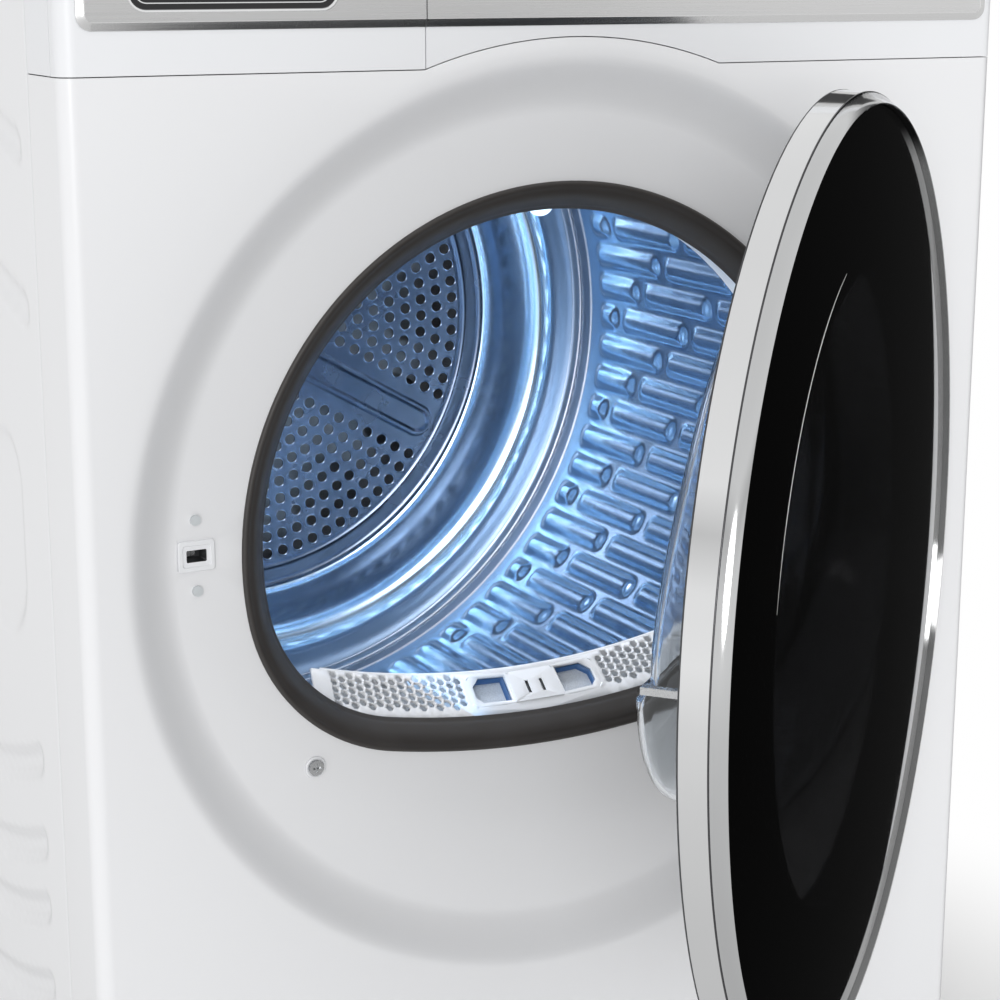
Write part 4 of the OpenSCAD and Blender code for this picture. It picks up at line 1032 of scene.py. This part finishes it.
SOFT_EDGES = {
    "worktop": 1.5, "drawer_front": 0.5, "water_tank": 1.5, "rear_panel": 0.5, "rear_duct_cover": 1.2,
    "base_tray": 0.6, "foot_front_left": 0.8, "foot_front_right": 0.8, "foot_rear_left": 0.8,
    "foot_rear_right": 0.8, "door_hinge_leaf": 0.4, "door_latch_hook": 0.3, "hinge_bracket": 0.4,
}
for node_name, width in SOFT_EDGES.items():
    soften(frame["nodes"][node_name], width)


# ---- door details
def door_lathe(name, profile, look, slot, closed=False, **finish):
    """A thin turned detail of the door."""
    shape = Shape()
    shape.lathe(profile, (0, PORT_Z), DOOR_STEPS, closed=closed)
    shape.piece(name, "door", [look], slot=slot, turn=DOOR, **finish)


BEVEL_BACK = (259.26, DOOR_BACK - 13.9)  # the ring bevel's two edges, as (radius, depth)
BEVEL_FRONT = (253.62, DOOR_FRONT - 0.04)
door_lathe("door_frame_rim", [(256.6, -2.6), (260.05, -2.9), (260.05, -2.4), (259.4, -1.9), (256.6, -1.9)],
           DARK_PLASTIC, "dark_plastic", closed=True)
# The bevel is drawn in the darker chrome, as painted shade.
door_lathe("door_ring_bevel", [BEVEL_BACK, BEVEL_FRONT, (253.1, DOOR_FRONT + 0.2)], BEVEL_CHROME_PAINTED_SHADE,
           "chrome_ring", crease=20, thick=0.05)
# A thin near-black band round the ring's back edge: a painted dark reflection.
door_lathe("door_ring_painted_dark_line", [(259.36, DOOR_BACK - 13.3), (259.36, DOOR_BACK - 13.75),
                              (259.2, DOOR_BACK - 14.1)], PAINTED_DARK_LINE_CHROME, "chrome_ring", thick=0.05)


def door_glass_painted_highlight():
    """A thin arc of painted highlight on the glass, standing for a reflection, tapered at both ends."""
    turn = np.radians(np.linspace(ARC_FROM, ARC_TO, 90))
    taper = np.minimum(1, np.minimum(turn - turn[0], turn[-1] - turn) / 0.25)
    half_widths = 0.15 + 0.5 * taper
    y = on_glass(ARC_R) - 0.08
    shape = Shape()
    shape.grid([[(r * math.cos(a), y, PORT_Z + r * math.sin(a))
                 for a, r in zip(turn, ARC_R + side * half_widths)] for side in (-1, 1)])
    shape.piece("door_glass_painted_highlight", "door", [PAINTED_HIGHLIGHT_WHITE], slot="chrome_ring", turn=DOOR, thick=0.03)


door_glass_painted_highlight()


# ---- camera, lights and stage
EYE = (-632.3, -1102.2, PORT_Z + 320.6)
EYE_YAW, EYE_PITCH = math.radians(27.90), math.radians(13.44)
EYE_LENS, EYE_SENSOR = 80.32, 36


def camera():
    """The viewpoint of the photograph, level and turned to the right and down."""
    lens = bpy.data.cameras.new("camera")
    lens.sensor_width = EYE_SENSOR
    lens.lens = EYE_LENS
    lens.clip_end = 50
    eye = bpy.data.objects.new("camera", lens)
    look = Vector((math.sin(EYE_YAW) * math.cos(EYE_PITCH), math.cos(EYE_YAW) * math.cos(EYE_PITCH),
                   -math.sin(EYE_PITCH)))
    eye.location = at(*EYE)
    eye.rotation_euler = look.to_track_quat("-Z", "Y").to_euler()
    bpy.context.scene.collection.objects.link(eye)
    bpy.context.scene.camera = eye


def area(name, place, aim, size, power, colour=(1, 1, 1)):
    """A round area light at a place, aimed at a point, that the camera doesn't see."""
    lamp = bpy.data.lights.new(name, "AREA")
    lamp.shape = "DISK"
    lamp.size = size / 1000
    lamp.energy = power
    lamp.color = colour
    holder = bpy.data.objects.new(name, lamp)
    holder.location = at(*place)
    holder.visible_camera = False
    holder.rotation_euler = (at(*aim) - at(*place)).to_track_quat("-Z", "Y").to_euler()
    bpy.context.scene.collection.objects.link(holder)


camera()
area("key", (-1500, -2500, 1150), (0, 0, 450), 1300, 27)
area("fill", (1900, -1800, 1500), (0, 0, 400), 2000, 4)
area("drum_white_glow", (-40, 150, 610), (90, 420, 250), 210, 1.25, (0.97, 0.98, 1.0))
area("drum_blue_glow", (-150, 130, 330), (170, 450, 470), 300, 0.26, (0.30, 0.60, 1.0))

DARK_SIDE = Vector((0.86, 0.42, -0.22)).normalized()  # the studio's dark side, behind on the right
DARK_OUTER, DARK_INNER = math.cos(math.radians(48)), math.cos(math.radians(26))
# The studio's brightness from straight down (0) over the horizon (0.5) to straight up (1).
SKY_SHADES = ((0.0, 0.70), (0.34, 0.88), (0.46, 1.04), (0.60, 1.0), (0.70, 0.72), (0.78, 1.0),
              (1.0, 0.92))


def studio():
    """A white studio: plain white for the camera, shaded by height and side for everything else."""
    world = bpy.data.worlds.new("studio")
    world.use_nodes = True
    nodes = world.node_tree.nodes
    sky = nodes["Background"]
    put(sky, Color=(1, 1, 1, 1))
    aim = nodes.new("ShaderNodeTexCoord")
    toward = nodes.new("ShaderNodeVectorMath")
    toward.operation = "DOT_PRODUCT"
    toward.inputs[1].default_value = DARK_SIDE
    flag = map_range(nodes, DARK_OUTER, DARK_INNER, 0.83, 0.02, smooth=True)
    height = nodes.new("ShaderNodeSeparateXYZ")
    bands = nodes.new("ShaderNodeValToRGB")
    for spot, _ in SKY_SHADES[1:-1]:
        bands.color_ramp.elements.new(spot)
    for stop, (spot, level) in zip(bands.color_ramp.elements, SKY_SHADES):
        stop.position = spot
        stop.color = (level, level, level, 1)
    from_below = map_range(nodes, -1, 1)
    product = nodes.new("ShaderNodeMath")
    product.operation = "MULTIPLY"
    seen = nodes.new("ShaderNodeLightPath")
    pick = nodes.new("ShaderNodeMix")
    put(pick, B=1.0)
    join(world.node_tree, (aim, "Generated", toward, 0), (toward, "Value", flag, "Value"),
         (seen, "Is Camera Ray", pick, "Factor"), (aim, "Generated", height, "Vector"),
         (height, "Z", from_below, "Value"), (from_below, "Result", bands, "Fac"),
         (bands, "Color", product, 0), (flag, "Result", product, 1), (product, "Value", pick, "A"),
         (pick, "Result", sky, "Strength"))
    bpy.context.scene.world = world


FLOOR_R = 1.7  # metres, as are the two radii between which it fades
FADE_FROM, FADE_TO = 0.28, 0.66


def stage():
    """A pale floor that fades to white outwards and isn't mirrored in the part."""
    mesh = bpy.data.meshes.new("floor")
    rim = ring_of(0, 0, FLOOR_R, 96)
    mesh.from_pydata([(x, y, 0) for x, y in rim], [], [list(range(len(rim)))])
    floor = bpy.data.objects.new("floor", mesh)
    pale = material("pale_floor", (0.82, 0.82, 0.82), 0.6, vary=0.01, grain=3)
    floor.data.materials.append(pale)
    nodes = pale.node_tree.nodes
    where = nodes.new("ShaderNodeTexCoord")
    away = nodes.new("ShaderNodeVectorMath")
    away.operation = "LENGTH"
    fade = map_range(nodes, FADE_FROM, FADE_TO, smooth=True)
    bright = nodes.new("ShaderNodeEmission")
    put(bright, Color=(1, 1, 1, 1))
    outward = nodes.new("ShaderNodeMixShader")
    ray = nodes.new("ShaderNodeLightPath")
    gone = nodes.new("ShaderNodeBsdfTransparent")
    mirror = nodes.new("ShaderNodeMixShader")
    join(pale.node_tree, (where, "Object", away, 0), (away, "Value", fade, "Value"),
         (fade, "Result", outward, "Fac"), (nodes["Principled BSDF"], "BSDF", outward, 1),
         (bright, "Emission", outward, 2), (ray, "Is Glossy Ray", mirror, "Fac"),
         (outward, "Shader", mirror, 1), (gone, "BSDF", mirror, 2),
         (mirror, "Shader", nodes["Material Output"], "Surface"))
    bpy.context.scene.collection.objects.link(floor)


studio()
stage()
bpy.context.scene.view_settings.view_transform = "Standard"
